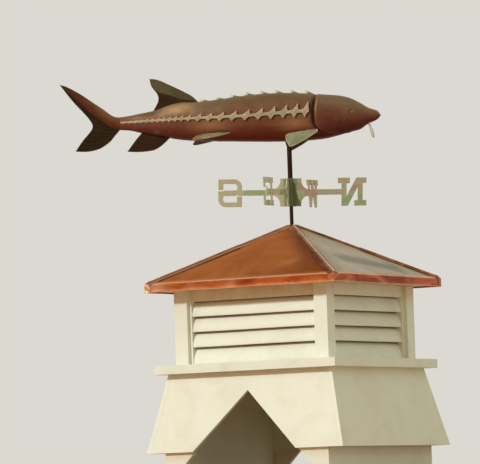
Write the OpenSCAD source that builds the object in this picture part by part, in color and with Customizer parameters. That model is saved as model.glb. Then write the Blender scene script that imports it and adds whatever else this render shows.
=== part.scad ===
// Barn cupola: a louvred box on a flared base that sits astride a roof ridge,
// with a low copper pyramid roof and a copper sturgeon weathervane.
// Z = 0 is the level of the lowest corners of the base. The ridge runs along Y.

/* [Base] */
// Width of the curb across the ridge, over its boards
curb_w = 810; // [700:5:860]
// Depth of the curb along the ridge, over its boards
curb_d = 904; // [800:2:930]
// Height of the curb that shows under the flared skirt
curb_h = 149; // [100:1:200]
// Slope of the roof that the base sits astride, in degrees
roof_pitch = 45; // [35:1:46]
// Thickness of the painted boards
board_t = 19; // [12:1:25]
// Width of the skirt at its top, under the ledge
skirt_top_w = 812; // [780:2:840]
// Width of the skirt at its bottom, across the ridge
skirt_foot_w = 976; // [900:2:1040]
// Depth of the skirt at its bottom, along the ridge
skirt_foot_d = 946; // [935:1:1000]
// Height of the skirt
skirt_h = 339; // [300:1:400]
// Width of the ledge over the skirt
ledge_w = 902; // [860:2:960]
// Thickness of the ledge
ledge_t = 38; // [25:1:50]
// Width of the ledge's boards
ledge_board_w = 95; // [90:1:150]

/* [Louvred box] */
// Width of the square louvred box
box_w = 762; // [700:2:780]
// Height of the louvred box, from the ledge to the soffit
box_h = 324; // [300:1:400]
// Width of a corner board
corner_board_w = 64; // [50:1:90]
// Side of the square post behind each corner board
post_w = 57; // [50:1:80]
// Height of the header board over the louvres
header_h = 51; // [40:1:70]
// Number of louvre blades on each side
blade_count = 4; // [3:1:6]
// Height of the lowest blade's nose over the ledge
blade_foot = 10; // [2:1:20]
// Thickness of a louvre blade
blade_t = 9; // [6:1:12]
// Set-back of a blade's nose behind the header
blade_set_back = 4; // [1:1:8]
// Overlap of a blade behind the one above it
blade_lap = 5; // [2:1:12]
// Bow of a blade, as the angle that its arc turns through
blade_bow = 28; // [10:1:50]

/* [Roof] */
// Width of the eaves over the drip edge
eave_w = 941; // [880:1:1000]
// Rise of the roof from the top of the drip edge to the point
roof_rise = 251; // [180:1:320]
// Thickness of the soffit board
soffit_t = 12; // [9:1:16]
// Thickness of the roof deck
deck_t = 19; // [15:1:25]
// Thickness of the copper sheet
copper_t = 1.5; // [1:0.1:2]
// Height of the drip edge
drip_h = 35; // [28:1:50]
// Distance that the drip edge hangs below the soffit
drip_hang = 7; // [3:1:12]
// Width of the drip edge's lip on the roof
drip_lip_w = 14; // [10:1:20]
// Width of a hip cap
hip_cap_w = 22; // [16:1:40]
// Radius of the roll along a hip cap
hip_roll_r = 5; // [3:0.5:8]

/* [Mast and compass arms] */
// Radius of the mast rod
rod_r = 8; // [6:0.5:10]
// Height of the compass arms over the roof's point
compass_rise = 140; // [120:1:220]
// Outer radius of the hub that carries the compass arms
hub_r = 14; // [12:0.5:22]
// Height of the compass letters and the hub
letter_h = 122; // [90:1:140]
// Distance from the mast to the middle of a letter
letter_reach = 283; // [260:1:360]
// Height of a compass arm's bar
arm_h = 24; // [16:1:30]
// Thickness of the compass arms and letters
arm_t = 4; // [3:0.5:6]
// Radius of the hollow curve where an arm widens into the hub
arm_flare_r = 40; // [30:1:45]
// Width of the widened end of an arm at the hub
arm_root_w = 34; // [20:1:40]
// Turn of the compass arms from the building's sides, in degrees
compass_turn = 10.4; // [-45:0.1:45]
// How far the north arm dips and the south arm rises, in degrees
north_dip = 2.5; // [-4:0.5:4]
// How far the east arm dips and the west arm rises, in degrees
east_dip = 2; // [-4:0.5:4]

/* [Sturgeon] */
// Length of the sturgeon from snout to tail tip
fish_l = 1395; // [1100:5:1500]
// Heading of the sturgeon at rest, in degrees from the building's side
vane_heading = 31; // [-180:1:180]
// Height of the sturgeon's middle line over the compass arms
fish_rise = 331; // [300:1:400]
// Outer radius of the sleeve that turns on the mast
sleeve_r = 10.5; // [10.5:0.5:14]
// Thickness of the fins
fin_t = 3; // [2:0.5:5]
// Number of large shields along the back
back_shields = 8; // [4:1:10]
// Number of large shields along each side
large_shields = 10; // [6:1:12]
// Number of small shields along each side, towards the tail
small_shields = 12; // [6:1:12]
// Thickness of the side shields
side_shield_t = 3; // [2:0.5:5]
// Radius of a barbel
barbel_r = 2.5; // [1.5:0.5:3]

/* [Hidden] */
$fn = 48;

seat_gap = 0.3;
running_gap = 0.08;
// Length of the sleeve above the end of the rod
rod_cover = 22;
past = 1;

skirt_z = curb_h;
ledge_z = skirt_z + skirt_h;
box_z = ledge_z + ledge_t;
soffit_z = box_z + box_h;
deck_z = soffit_z + soffit_t;
drip_z = soffit_z - drip_hang;
eave_z = drip_z + drip_h;
apex_z = eave_z + roof_rise;
saddle_z = curb_w/2*tan(roof_pitch);
roof_slope = atan(roof_rise/(eave_w/2));

inner_w = box_w - 2*board_t;
post_gap_half = inner_w/2 - post_w;
blade_pitch = (box_h - header_h - blade_foot)/blade_count;
blade_depth = post_w - blade_set_back - blade_t;
blade_rise = blade_pitch + blade_lap;

compass_z = apex_z + compass_rise;
hub_foot_z = compass_z - letter_h/2;
hub_top_z = compass_z + letter_h/2;
fish_z = compass_z + fish_rise;

deck_half = eave_w/2 - copper_t;
cream = [0.93, 0.90, 0.83];
copper = [0.62, 0.34, 0.18];
dull_copper = [0.45, 0.29, 0.20];
verdigris = [0.55, 0.60, 0.47];
dark_iron = [0.13, 0.10, 0.09];
shield_green = [0.72, 0.66, 0.52];

// Walls of the base

// The wedge of ridge that the base sits astride
module saddle_wedge() {
    reach = curb_d;
    drop = saddle_z + past;
    translate([0, reach, 0]) rotate([90, 0, 0]) linear_extrude(2*reach)
        polygon([[0, saddle_z], [drop/tan(roof_pitch), -past], [-drop/tan(roof_pitch), -past]]);
}

// Half the width of the skirt's outside at a height, from its width at the top and at the foot
function skirt_half(z, foot_w) =
    let(share = (ledge_z - z)/skirt_h) (skirt_top_w + (foot_w - skirt_top_w)*share)/2;

// A skirt wall's section, with its outside towards +X, between two heights
module skirt_section(foot_w) {
    slant_t = board_t/cos(atan((foot_w - skirt_top_w)/2/skirt_h));
    top = skirt_half(ledge_z, foot_w);
    foot = skirt_half(skirt_z, foot_w);
    polygon([[foot, skirt_z], [top, ledge_z], [top - slant_t, ledge_z], [foot - slant_t, skirt_z]]);
}

// The skirt's outline seen from one side, widened or narrowed by a margin
module skirt_outline(foot_w, margin) {
    top = skirt_half(ledge_z, foot_w) + margin;
    foot = skirt_half(skirt_z, foot_w) + margin;
    polygon([[foot, skirt_z], [top, ledge_z], [-top, ledge_z], [-foot, skirt_z]]);
}

// A sloping wall that faces +X; foot_w is its own flare and across_w the flare of the walls beside it
module skirt_wall(foot_w, across_w, margin) {
    intersection() {
        translate([0, skirt_foot_w, 0]) rotate([90, 0, 0])
            linear_extrude(2*skirt_foot_w) skirt_section(foot_w);
        rotate([90, 0, 90]) linear_extrude(skirt_foot_w) skirt_outline(across_w, margin);
    }
}

module skirt_side() {
    difference() {
        skirt_wall(skirt_foot_w, skirt_foot_d, 0);
        saddle_wedge();
    }
}

// A notched wall across the ridge fits between the side walls
module skirt_end() {
    slant_t = board_t/cos(atan((skirt_foot_w - skirt_top_w)/2/skirt_h));
    difference() {
        rotate([0, 0, -90]) skirt_wall(skirt_foot_d, skirt_foot_w, -slant_t);
        saddle_wedge();
    }
}

module skirt_right() { color(cream) skirt_side(); }
module skirt_left() { color(cream) mirror([1, 0, 0]) skirt_side(); }
module skirt_front() { color(cream) skirt_end(); }
module skirt_back() { color(cream) mirror([0, 1, 0]) skirt_end(); }

// A curb wall beside the ridge stands inside the skirt, up to where the skirt or the ledge closes on it
module curb_side() {
    slant_t = board_t/cos(atan((skirt_foot_w - skirt_top_w)/2/skirt_h));
    flare = (skirt_foot_w - skirt_top_w)/2/skirt_h;
    top_z = min(skirt_z + (skirt_foot_w/2 - slant_t - curb_w/2)/flare, ledge_z);
    across = curb_d - 2*board_t;
    difference() {
        translate([curb_w/2 - board_t, -across/2, 0]) cube([board_t, across, top_z - seat_gap]);
        saddle_wedge();
        curb_end_clearance();
        mirror([0, 1, 0]) curb_end_clearance();
    }
}

// The room that the slanting end walls need at the curb walls' upper corners
module curb_end_clearance() {
    slant_t = board_t/cos(atan((skirt_foot_d - skirt_top_w)/2/skirt_h)) + seat_gap;
    top = skirt_half(ledge_z, skirt_foot_d) - slant_t;
    foot = skirt_half(skirt_z, skirt_foot_d) - slant_t;
    rotate([90, 0, 90]) translate([0, 0, -curb_w]) linear_extrude(2*curb_w)
        polygon([[foot, skirt_z], [top, ledge_z], [foot + curb_d, ledge_z], [foot + curb_d, skirt_z]]);
}

// A curb wall across the ridge is a pair of triangles beside the roof, under the skirt
module curb_end() {
    difference() {
        translate([-curb_w/2, -curb_d/2, 0]) cube([curb_w, board_t, skirt_z]);
        saddle_wedge();
    }
}

module curb_right() { color(cream) curb_side(); }
module curb_left() { color(cream) mirror([1, 0, 0]) curb_side(); }
module curb_front() { color(cream) curb_end(); }
module curb_back() { color(cream) mirror([0, 1, 0]) curb_end(); }

// Ledge of four mitred boards
module ledge_board() {
    outer = ledge_w/2;
    inner = outer - ledge_board_w;
    translate([0, 0, ledge_z]) linear_extrude(ledge_t)
        polygon([[-outer, -outer], [outer, -outer], [inner, -inner], [-inner, -inner]]);
}

module ledge_front() { color(cream) ledge_board(); }
module ledge_right() { color(cream) rotate([0, 0, 90]) ledge_board(); }
module ledge_back() { color(cream) rotate([0, 0, 180]) ledge_board(); }
module ledge_left() { color(cream) rotate([0, 0, 270]) ledge_board(); }

// Louvred box

// Two corner boards and the post behind them, at the front right corner
module corner_post() {
    half = box_w/2;
    inner = half - board_t;
    translate([0, 0, box_z]) linear_extrude(box_h)
        polygon([
            [half, -half], [half, -half + corner_board_w], [inner, -half + corner_board_w],
            [inner, -inner + post_w], [inner - post_w, -inner + post_w], [inner - post_w, -inner],
            [half - corner_board_w, -inner], [half - corner_board_w, -half]
        ]);
}

module corner_front_right() { color(cream) corner_post(); }
module corner_back_right() { color(cream) rotate([0, 0, 90]) corner_post(); }
module corner_back_left() { color(cream) rotate([0, 0, 180]) corner_post(); }
module corner_front_left() { color(cream) rotate([0, 0, 270]) corner_post(); }

module header_board() {
    translate([-post_gap_half, -inner_w/2, soffit_z - header_h])
        cube([2*post_gap_half, board_t, header_h]);
}

module header_front() { color(cream) header_board(); }
module header_right() { color(cream) rotate([0, 0, 90]) header_board(); }
module header_back() { color(cream) rotate([0, 0, 180]) header_board(); }
module header_left() { color(cream) rotate([0, 0, 270]) header_board(); }

// The blade's section: an arc that climbs from the nose and leans inwards
blade_lean = atan(blade_rise/blade_depth);
blade_chord = sqrt(blade_rise*blade_rise + blade_depth*blade_depth);
blade_arc_r = blade_chord/2/sin(blade_bow/2);

function blade_point(share, inset) =
    let(
        turn = blade_lean + blade_bow/2 - blade_bow*share,
        start = blade_lean + blade_bow/2,
        r = blade_arc_r - inset
    )
    [blade_arc_r*sin(start) - r*sin(turn), r*cos(turn) - blade_arc_r*cos(start)];

module blade_section() {
    steps = 8;
    polygon(concat(
        [for (i = [0:steps]) blade_point(i/steps, 0)],
        [for (i = [steps:-1:0]) blade_point(i/steps, blade_t)]
    ));
}

module louver_set() {
    for (i = [0:blade_count - 1])
        translate([-post_gap_half, -inner_w/2 + blade_set_back, box_z + blade_foot + i*blade_pitch])
            rotate([90, 0, 90]) linear_extrude(2*post_gap_half) blade_section();
}

module louvers_front() { color(cream) louver_set(); }
module louvers_right() { color(cream) rotate([0, 0, 90]) louver_set(); }
module louvers_back() { color(cream) rotate([0, 0, 180]) louver_set(); }
module louvers_left() { color(cream) rotate([0, 0, 270]) louver_set(); }

// Roof

// A square pyramid with its foot at one height and its point at another
module pyramid(half, foot_z, point_z) {
    module ridge_prism() {
        translate([0, half, 0]) rotate([90, 0, 0]) linear_extrude(2*half)
            polygon([[-half, foot_z], [half, foot_z], [0, point_z]]);
    }
    intersection() {
        ridge_prism();
        rotate([0, 0, 90]) ridge_prism();
    }
}

// Height of a sloping face over the eave, for a face that lies lower than the copper by a drop
function slope_drop(t) = t/cos(roof_slope);

module soffit() {
    color(cream) translate([-deck_half, -deck_half, soffit_z])
        cube([2*deck_half, 2*deck_half, soffit_t]);
}

// A hollow pyramid of boards whose foot stands on the soffit
module roof_deck() {
    grow = eave_w/2/roof_rise;
    top_drop = slope_drop(copper_t) + seat_gap;
    under_drop = top_drop + slope_drop(deck_t);
    color(cream) difference() {
        intersection() {
            pyramid(eave_w/2 + grow*(eave_z - top_drop - deck_z), deck_z, apex_z - top_drop);
            translate([-deck_half, -deck_half, deck_z]) cube([2*deck_half, 2*deck_half, apex_z]);
        }
        pyramid(eave_w/2 + grow*(eave_z - under_drop - deck_z), deck_z, apex_z - under_drop);
        translate([0, 0, deck_z]) cylinder(r = rod_r + running_gap, h = apex_z);
    }
}

// One sheet of copper on the front slope, between the hips
module roof_sheet() {
    mitre_gap = 0.5;
    sheet_drop = slope_drop(copper_t);
    half = deck_half;
    edge_z = eave_z + copper_t/eave_w*2*roof_rise;
    difference() {
        intersection() {
            translate([-half, 0, 0]) rotate([90, 0, 90]) linear_extrude(2*half)
                polygon([[0, apex_z], [-half, edge_z], [-half, edge_z - sheet_drop], [0, apex_z - sheet_drop]]);
            linear_extrude(apex_z + past)
                polygon([[0, -mitre_gap], [half, -half - mitre_gap], [-half, -half - mitre_gap]]);
        }
        cylinder(r = rod_r + 1, h = apex_z + past);
    }
}

module roof_sheets() {
    color(copper) for (turn = [0:90:270]) rotate([0, 0, turn]) roof_sheet();
}

// A folded drip edge along the front eave: a face and a narrow lip on the roof
module drip_edge() {
    half = eave_w/2;
    mitre_gap = 0.5;
    slope = roof_rise/half;
    lip_gap = seat_gap + 0.2;
    lip_t = slope_drop(copper_t);
    inner = deck_half + seat_gap;
    intersection() {
        translate([-half, 0, 0]) rotate([90, 0, 90]) linear_extrude(2*half) polygon([
            [-half, drip_z], [-half, eave_z + lip_gap + lip_t],
            [drip_lip_w - half, eave_z + drip_lip_w*slope + lip_gap + lip_t],
            [drip_lip_w - half, eave_z + drip_lip_w*slope + lip_gap],
            [-inner, eave_z + (half - inner)*slope + lip_gap], [-inner, drip_z]
        ]);
        linear_extrude(apex_z)
            polygon([[0, -mitre_gap], [half, -half - mitre_gap], [-half, -half - mitre_gap]]);
    }
}

module drip_edges() {
    color(copper) for (turn = [0:90:270]) rotate([0, 0, turn]) drip_edge();
}

// A rolled cap along the hip that runs down towards +X and -Y
module hip_cap() {
    hip_run = eave_w/2*sqrt(2);
    hip_slope = atan(roof_rise/hip_run);
    start = 26;
    wing = hip_cap_w/2;
    foot = ((drip_lip_w + past)*sqrt(2) + wing)/cos(hip_slope);
    length = hip_run/cos(hip_slope) - start - foot;
    lift = seat_gap + 0.5;
    // Each wing falls away from the hip by this angle, seen along the hip
    fall = acos(cos(roof_slope)*cos(roof_slope))/2;
    translate([0, 0, apex_z]) rotate([0, 0, -45]) rotate([0, hip_slope, 0])
        translate([start, 0, lift]) rotate([90, 0, 90]) linear_extrude(length) union() {
            polygon([
                [0, 0], [wing, -wing*tan(fall)], [wing, -wing*tan(fall) + copper_t], [0, copper_t*1.6],
                [-wing, -wing*tan(fall) + copper_t], [-wing, -wing*tan(fall)]
            ]);
            intersection() {
                translate([0, 1]) circle(r = hip_roll_r);
                translate([-hip_roll_r, 0.8]) square([2*hip_roll_r, 2*hip_roll_r]);
            }
        }
}

module hip_caps() {
    color(copper) for (turn = [0:90:270]) rotate([0, 0, turn]) hip_cap();
}

// Mast and compass arms

module mast_rod() {
    color(dark_iron) translate([0, 0, deck_z])
        cylinder(r = rod_r, h = sleeve_top_z - rod_cover - deck_z);
}

module compass_hub() {
    color(verdigris) translate([0, 0, hub_foot_z]) difference() {
        cylinder(r = hub_r, h = letter_h);
        translate([0, 0, -past]) cylinder(r = rod_r + running_gap, h = letter_h + 2*past);
    }
}

// An arm's bar from inside the hub, widening in two hollow curves to its root, drawn in X and Z
module arm_shape(end_x) {
    root = hub_r - 4;
    root_end = hub_r + seat_gap + arm_root_w;
    difference() {
        union() {
            translate([root, -arm_h/2]) square([end_x - root, arm_h]);
            translate([root, -letter_h/2]) square([root_end + arm_flare_r - root, letter_h]);
        }
        for (side = [-1, 1]) {
            translate([root_end + arm_flare_r, side*(arm_h/2 + arm_flare_r)]) circle(r = arm_flare_r);
            translate([root_end, side > 0 ? arm_h/2 + arm_flare_r : -letter_h])
                square([arm_flare_r + past, letter_h - arm_h/2 - arm_flare_r]);
        }
    }
}

// Letters are drawn about their own middle, as a reader sees them
slab = 22;
serif_h = 24;

module letter_n() {
    h = letter_h/2;
    stem = 26;
    wide = 65;
    slant = 2*h/(2*stem + slab - 6);
    polygon([
        [-wide, -h], [-11, -h], [-11, serif_h - h], [-stem, serif_h - h], [-stem, h - slab*slant],
        [stem - 6, -h], [stem + slab, -h], [stem + slab, h - serif_h], [wide, h - serif_h], [wide, h],
        [11, h], [11, h - serif_h], [stem, h - serif_h], [stem, slab*slant - h], [6 - stem, h],
        [-wide, h], [-wide, h - serif_h], [-stem - slab, h - serif_h], [-stem - slab, serif_h - h],
        [-wide, serif_h - h]
    ]);
}

module letter_e() {
    h = letter_h/2;
    wide = 59;
    stem = -47;
    tongue = 13;
    polygon([
        [-wide, -h], [wide, -h], [wide, serif_h + 20 - h], [wide - 20, serif_h + 20 - h],
        [wide - 20, serif_h - h], [stem + slab, serif_h - h], [stem + slab, -arm_h/2],
        [tongue, -arm_h/2], [tongue, -slab], [tongue + 14, -slab], [tongue + 14, slab], [tongue, slab],
        [tongue, arm_h/2], [stem + slab, arm_h/2], [stem + slab, h - serif_h], [wide - 20, h - serif_h],
        [wide - 20, h - serif_h - 20], [wide, h - serif_h - 20], [wide, h], [-wide, h],
        [-wide, h - serif_h], [stem, h - serif_h], [stem, serif_h - h], [-wide, serif_h - h]
    ]);
}

module letter_w() {
    h = letter_h/2;
    neck = h - serif_h;
    right = [
        [18, h], [18, neck], [11, neck], [30, -h + 45], [36, neck], [28, neck], [28, h],
        [70, h], [70, neck], [57, neck], [46, -h], [22, -h]
    ];
    left = [for (i = [len(right) - 1:-1:0]) [-right[i][0], right[i][1]]];
    polygon(concat(right, [[0, -h + 59]], left));
}

module letter_s() {
    w = 110;
    h = letter_h;
    r = (h/2 + arm_h/2)/2;
    for (turn = [0, 180]) rotate(turn) {
        // Upper bowl, open to the right, with a serif at its end
        difference() {
            union() {
                translate([-w/2 + r, h/2 - r]) circle(r = r);
                translate([-w/2 + r, h/2 - 2*r]) square([w - 2*r, 2*r]);
                translate([w/2 - r, h/2 - 2*r]) square([r, 2*r]);
            }
            translate([-w/2 + r, h/2 - r]) circle(r = r - serif_h*0.85);
            translate([-w/2 + r, h/2 - 2*r + serif_h*0.85]) square([w, 2*r - 2*serif_h*0.85]);
        }
        translate([w/2 - slab, h/2 - 46]) square([slab, 46]);
    }
}

// Turns a flat drawing up into the plane of an arm
module stand_up() {
    rotate([90, 0, 0]) translate([0, 0, -arm_t/2]) linear_extrude(arm_t) children();
}

// An arm and its letter dip together, and the arm's root is cut upright along the hub
module compass_arm(turn, letter_half, flip, dip) {
    color(verdigris) translate([0, 0, compass_z]) rotate([0, 0, compass_turn + turn]) difference() {
        rotate([0, dip, 0]) union() {
            stand_up() arm_shape(letter_reach - letter_half);
            stand_up() translate([letter_reach, 0]) mirror([flip ? 1 : 0, 0]) children();
        }
        translate([0, -hub_r, -letter_h]) cube([hub_r + seat_gap, 2*hub_r, 2*letter_h]);
    }
}

module arm_north() { compass_arm(0, 40, true, north_dip) letter_n(); }
module arm_south() { compass_arm(180, 40, false, -north_dip) letter_s(); }
module arm_east() { compass_arm(-90, 40, false, east_dip) letter_e(); }
module arm_west() { compass_arm(90, 45, false, -east_dip) letter_w(); }

// Sturgeon, drawn along X with its mast at X = 0 and its middle line at Z = 0

// Tail tip and snout of the outlines as drawn; fish_k brings them to the real length
DRAWN_ENDS = [-993, 402];
fish_k = fish_l/(DRAWN_ENDS[1] - DRAWN_ENDS[0]);

// Station along the body, back, belly, half width and height of the side line
BODY = fish_k*[
    [-735, 22, -33, 12, -2], [-690, 27, -37, 16, -1.5], [-640, 36, -49, 24, -0.5],
    [-585, 46, -63, 33, 0.5], [-530, 64, -73, 42, 1.5], [-470, 78, -84, 50, 3],
    [-390, 78, -93, 59, 3.5], [-300, 86, -97, 66, 3.5], [-200, 98, -101, 72, 5],
    [-100, 104, -105, 75, 9], [0, 104, -107, 76, 14.5], [90, 98, -106, 74, 18],
    [160, 92, -100, 69, 16], [220, 86, -87, 61, 9], [270, 74, -76, 52, 2],
    [315, 51, -63, 43, -4], [350, 29.5, -41.5, 32, -6], [380, 18, -29, 22, -6],
    [394, 10, -20, 15, -6], [402, -2, -10, 6, -6]
];

function span_of(x, i = 0) = i >= len(BODY) - 2 || x <= BODY[i + 1][0] ? i : span_of(x, i + 1);

function slope_of(i, k) =
    let(lo = max(i - 1, 0), hi = min(i + 1, len(BODY) - 1))
    (BODY[hi][k] - BODY[lo][k])/(BODY[hi][0] - BODY[lo][0]);

// Smooth value of column k of the body's stations at x
function body_at(x, k) =
    let(
        i = span_of(x), step = BODY[i + 1][0] - BODY[i][0], t = (x - BODY[i][0])/step,
        a = BODY[i][k], b = BODY[i + 1][k], p = slope_of(i, k)*step, q = slope_of(i + 1, k)*step
    )
    a + t*(p + t*(3*(b - a) - 2*p - q + t*(2*(a - b) + p + q)));

fish_tail_x = BODY[0][0];
fish_nose_x = BODY[len(BODY) - 1][0];
sleeve_top_z = fish_z + body_at(0, 2) - seat_gap;

// The gill cover's rear edge: where it crosses the side line, and its bend forwards above and below
gill_x = 114*fish_k;
function gill_bend(z) = (z > 0 ? 0.0018 : 0.0065)*z*z/fish_k;
function bend_share(x) = lookup(x/fish_k, [[0, 0], [90, 1], [130, 1], [290, 0]]);

// Distance from the gill cover's edge, and height there over the smooth skin
GILL_STEPS = [[-14, 0], [-6, -3.5], [-0.8, -5], [1.2, 3], [5, 3.4], [26, 1.6], [60, 0]];

// A point of the body's skin at x, at an angle round its section, raised by a height
function skin_point(x, a, rise = 0) =
    let(side = body_at(x, 4), tall = sin(a) >= 0 ? body_at(x, 1) - side : side - body_at(x, 2))
    [x, (body_at(x, 3) + rise)*cos(a), side + (tall + rise)*sin(a)];

ring_sides = 28;
rear_rings = 40;
head_rings = 18;

function body_ring(x, rise) =
    [for (j = [0:ring_sides - 1]) let(a = 360*j/ring_sides, z = skin_point(x, a)[2])
        skin_point(x + bend_share(x)*gill_bend(z), a, rise)];

module body_loft() {
    gill_foot = gill_x + fish_k*GILL_STEPS[0][0];
    gill_end = gill_x + fish_k*GILL_STEPS[len(GILL_STEPS) - 1][0];
    rings = concat(
        [for (i = [0:rear_rings - 1]) body_ring(fish_tail_x + (gill_foot - fish_tail_x)*i/rear_rings, 0)],
        [for (step = GILL_STEPS) body_ring(gill_x + fish_k*step[0], fish_k*step[1])],
        [for (i = [1:head_rings]) let(t = i/head_rings)
            body_ring(gill_end + (fish_nose_x - gill_end)*(1.7*t - 0.7*t*t), 0)]
    );
    n = ring_sides;
    points = [for (ring = rings) each ring];
    sides = [for (i = [0:len(rings) - 2], j = [0:n - 1])
        each [[i*n + j, i*n + (j + 1)%n, (i + 1)*n + j], [i*n + (j + 1)%n, (i + 1)*n + (j + 1)%n, (i + 1)*n + j]]];
    tail_cap = [for (j = [n - 1:-1:0]) j];
    nose_cap = [for (j = [0:n - 1]) (len(rings) - 1)*n + j];
    polyhedron(points, concat(sides, [tail_cap], [nose_cap]));
}

module on_vane() {
    translate([0, 0, fish_z]) rotate([0, 0, vane_heading]) children();
}

module vane_sleeve() {
    foot = hub_top_z + seat_gap;
    length = sleeve_top_z - foot;
    color(dark_iron) translate([0, 0, foot]) difference() {
        cylinder(r = sleeve_r, h = length);
        translate([0, 0, -past]) cylinder(r = rod_r + running_gap, h = length + 2*past);
    }
}

module fish_body() { color(dull_copper) on_vane() body_loft(); }

// Stands an outline up in the fish's middle plane
module fin_plate() {
    rotate([90, 0, 0]) translate([0, 0, -fin_t/2]) linear_extrude(fin_t) children();
}

// A quadratic curve between two drawn points, bent towards a third, at the real size
function curve(a, b, c, n = 6) =
    [for (i = [0:n]) let(t = i/n) fish_k*((1 - t)*(1 - t)*a + 2*t*(1 - t)*b + t*t*c)];

module tail_outline() {
    polygon(concat(
        curve([-735, 22], [-765, 26], [-800, 55]),
        curve([-810, 62], [-905, 128], [-993, 174]),
        curve([-990, 172], [-920, 92], [-886, 38]),
        curve([-880, 30], [-838, -10], [-875, -34]),
        curve([-880, -40], [-905, -70], [-932, -121]),
        curve([-928, -122], [-850, -126], [-800, -98]),
        curve([-790, -92], [-760, -60], [-735, -33])
    ));
}

module tail_fin() {
    bend = fish_k*[-800, 0, 40];
    tip = fish_k*[-960, 0, 150];
    color(dull_copper) on_vane() translate([-seat_gap, 0, 0]) union() {
        fin_plate() tail_outline();
        // The flesh of the back runs on into the upper lobe
        hull() {
            translate([fish_tail_x, 0, 0]) rotate([0, -90, 0])
                linear_extrude(fin_t) scale([1, 0.42]) circle(r = BODY[0][1], $fn = 24);
            translate(bend) sphere(r = 7*fish_k, $fn = 16);
        }
        hull() {
            translate(bend) sphere(r = 7*fish_k, $fn = 16);
            translate(tip) sphere(r = 2.5*fish_k, $fn = 16);
        }
    }
}

module back_fin() {
    front = -391*fish_k;
    rear = -588*fish_k;
    steps = 14;
    base = [for (i = [0:steps]) let(x = rear + (front - rear)*i/steps) [x, body_at(x, 1) + seat_gap + 0.5]];
    color(verdigris) on_vane() fin_plate() polygon(concat(
        base,
        curve([-395, 85], [-470, 140], [-532, 167]),
        curve([-540, 170], [-575, 184], [-600, 186]),
        curve([-602, 178], [-592, 142], [-568, 119]),
        curve([-564, 109], [-562, 86], [-584, 60])
    ));
}

module anal_fin() {
    front = -518*fish_k;
    rear = -640*fish_k;
    steps = 8;
    base = [for (i = [steps:-1:0]) let(x = rear + (front - rear)*i/steps) [x, body_at(x, 2) - seat_gap - 0.5]];
    color(verdigris) on_vane() fin_plate() polygon(concat(
        base,
        curve([-645, -56], [-682, -96], [-706, -128]),
        curve([-704, -133], [-640, -140], [-596, -126]),
        curve([-590, -123], [-560, -110], [-518, -78])
    ));
}

// Distance from a fin's hinge line out to the body's skin at x, in the plane of a fin that slopes down by dip
function skin_reach(x, y0, z0, dip) =
    let(
        wide = body_at(x, 3), deep = body_at(x, 4) - body_at(x, 2), d0 = body_at(x, 4) - z0,
        a = pow(cos(dip)/wide, 2) + pow(sin(dip)/deep, 2),
        b = 2*(y0*cos(dip)/(wide*wide) + d0*sin(dip)/(deep*deep)),
        c = pow(y0/wide, 2) + pow(d0/deep, 2) - 1
    )
    (sqrt(b*b - 4*a*c) - b)/(2*a);

// A pair of fins: the root follows the body's skin from rear to front, and the blade's edge closes it
module side_fins(x, drop, dip, rear, front, seat, blade) {
    z0 = body_at(x, 4) - (body_at(x, 4) - body_at(x, 2))*drop;
    y0 = body_at(x, 3)*sqrt(1 - drop*drop) - 20*fish_k;
    steps = 6;
    root = [for (i = [0:steps]) let(u = rear + (front - rear)*i/steps)
        [u, skin_reach(x + u, y0, z0, dip) + seat]];
    reach = skin_reach(x, y0, z0, dip);
    for (hand = [0, 1]) mirror([0, hand, 0]) translate([x, y0, z0]) rotate([-dip, 0, 0])
        translate([0, 0, -fin_t/2]) linear_extrude(fin_t)
            polygon(concat(root, [for (point = blade) point + [0, reach]]));
}

module pectoral_fins() {
    color(verdigris) on_vane() side_fins(60*fish_k, 0.54, 52, 20*fish_k, 66*fish_k, seat_gap, concat(
        curve([64, 10], [12, 58], [-50, 94]),
        curve([-60, 94], [-78, 60], [-75, 30]),
        curve([-62, 16], [-20, 7], [14, 4])
    ));
}

module pelvic_fins() {
    color(verdigris) on_vane() side_fins(-300*fish_k, 0.6, 24, -10*fish_k, 44*fish_k, seat_gap + 0.2, concat(
        curve([40, 8], [-36, 66], [-108, 86]),
        curve([-120, 84], [-112, 46], [-84, 20]),
        curve([-60, 10], [-40, 6], [-16, 5])
    ));
}

// A back shield: a folded plate whose ridge climbs from its front to a peak over its steep rear
module back_shield(x, rise) {
    lift = seat_gap + 0.5;
    peak = [x - 3*fish_k, 0, body_at(x, 1) + rise];
    corner = function(u, y) [u, y, body_at(u, 1) + lift];
    points = [
        corner(x - 13*fish_k, 0), corner(x - 1*fish_k, -8*fish_k), corner(x + 33*fish_k, 0),
        corner(x - 1*fish_k, 8*fish_k), peak
    ];
    polyhedron(points, [[0, 3, 1], [1, 3, 2], [0, 1, 4], [1, 2, 4], [2, 3, 4], [3, 0, 4]]);
}

// Back shields grow towards the head
module back_scutes() {
    first = -372*fish_k;
    last = 84*fish_k;
    color(shield_green) on_vane() for (i = [0:back_shields - 1]) let(share = i/(back_shields - 1))
        back_shield(first + (last - first)*share, (12 + 5*share)*fish_k);
}

// Side shields: the large ones start close together behind the gill cover, lie wider along the flank and
// close up again, and small ones crowd towards the tail
function shield_x(i) =
    let(share = min(i, large_shields)/large_shields, n = max(i - large_shields, 0))
    fish_k*(88 - 513*share + 10*sin(360*share) - 24.7*n - 12*(1 - exp(-n)));

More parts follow.
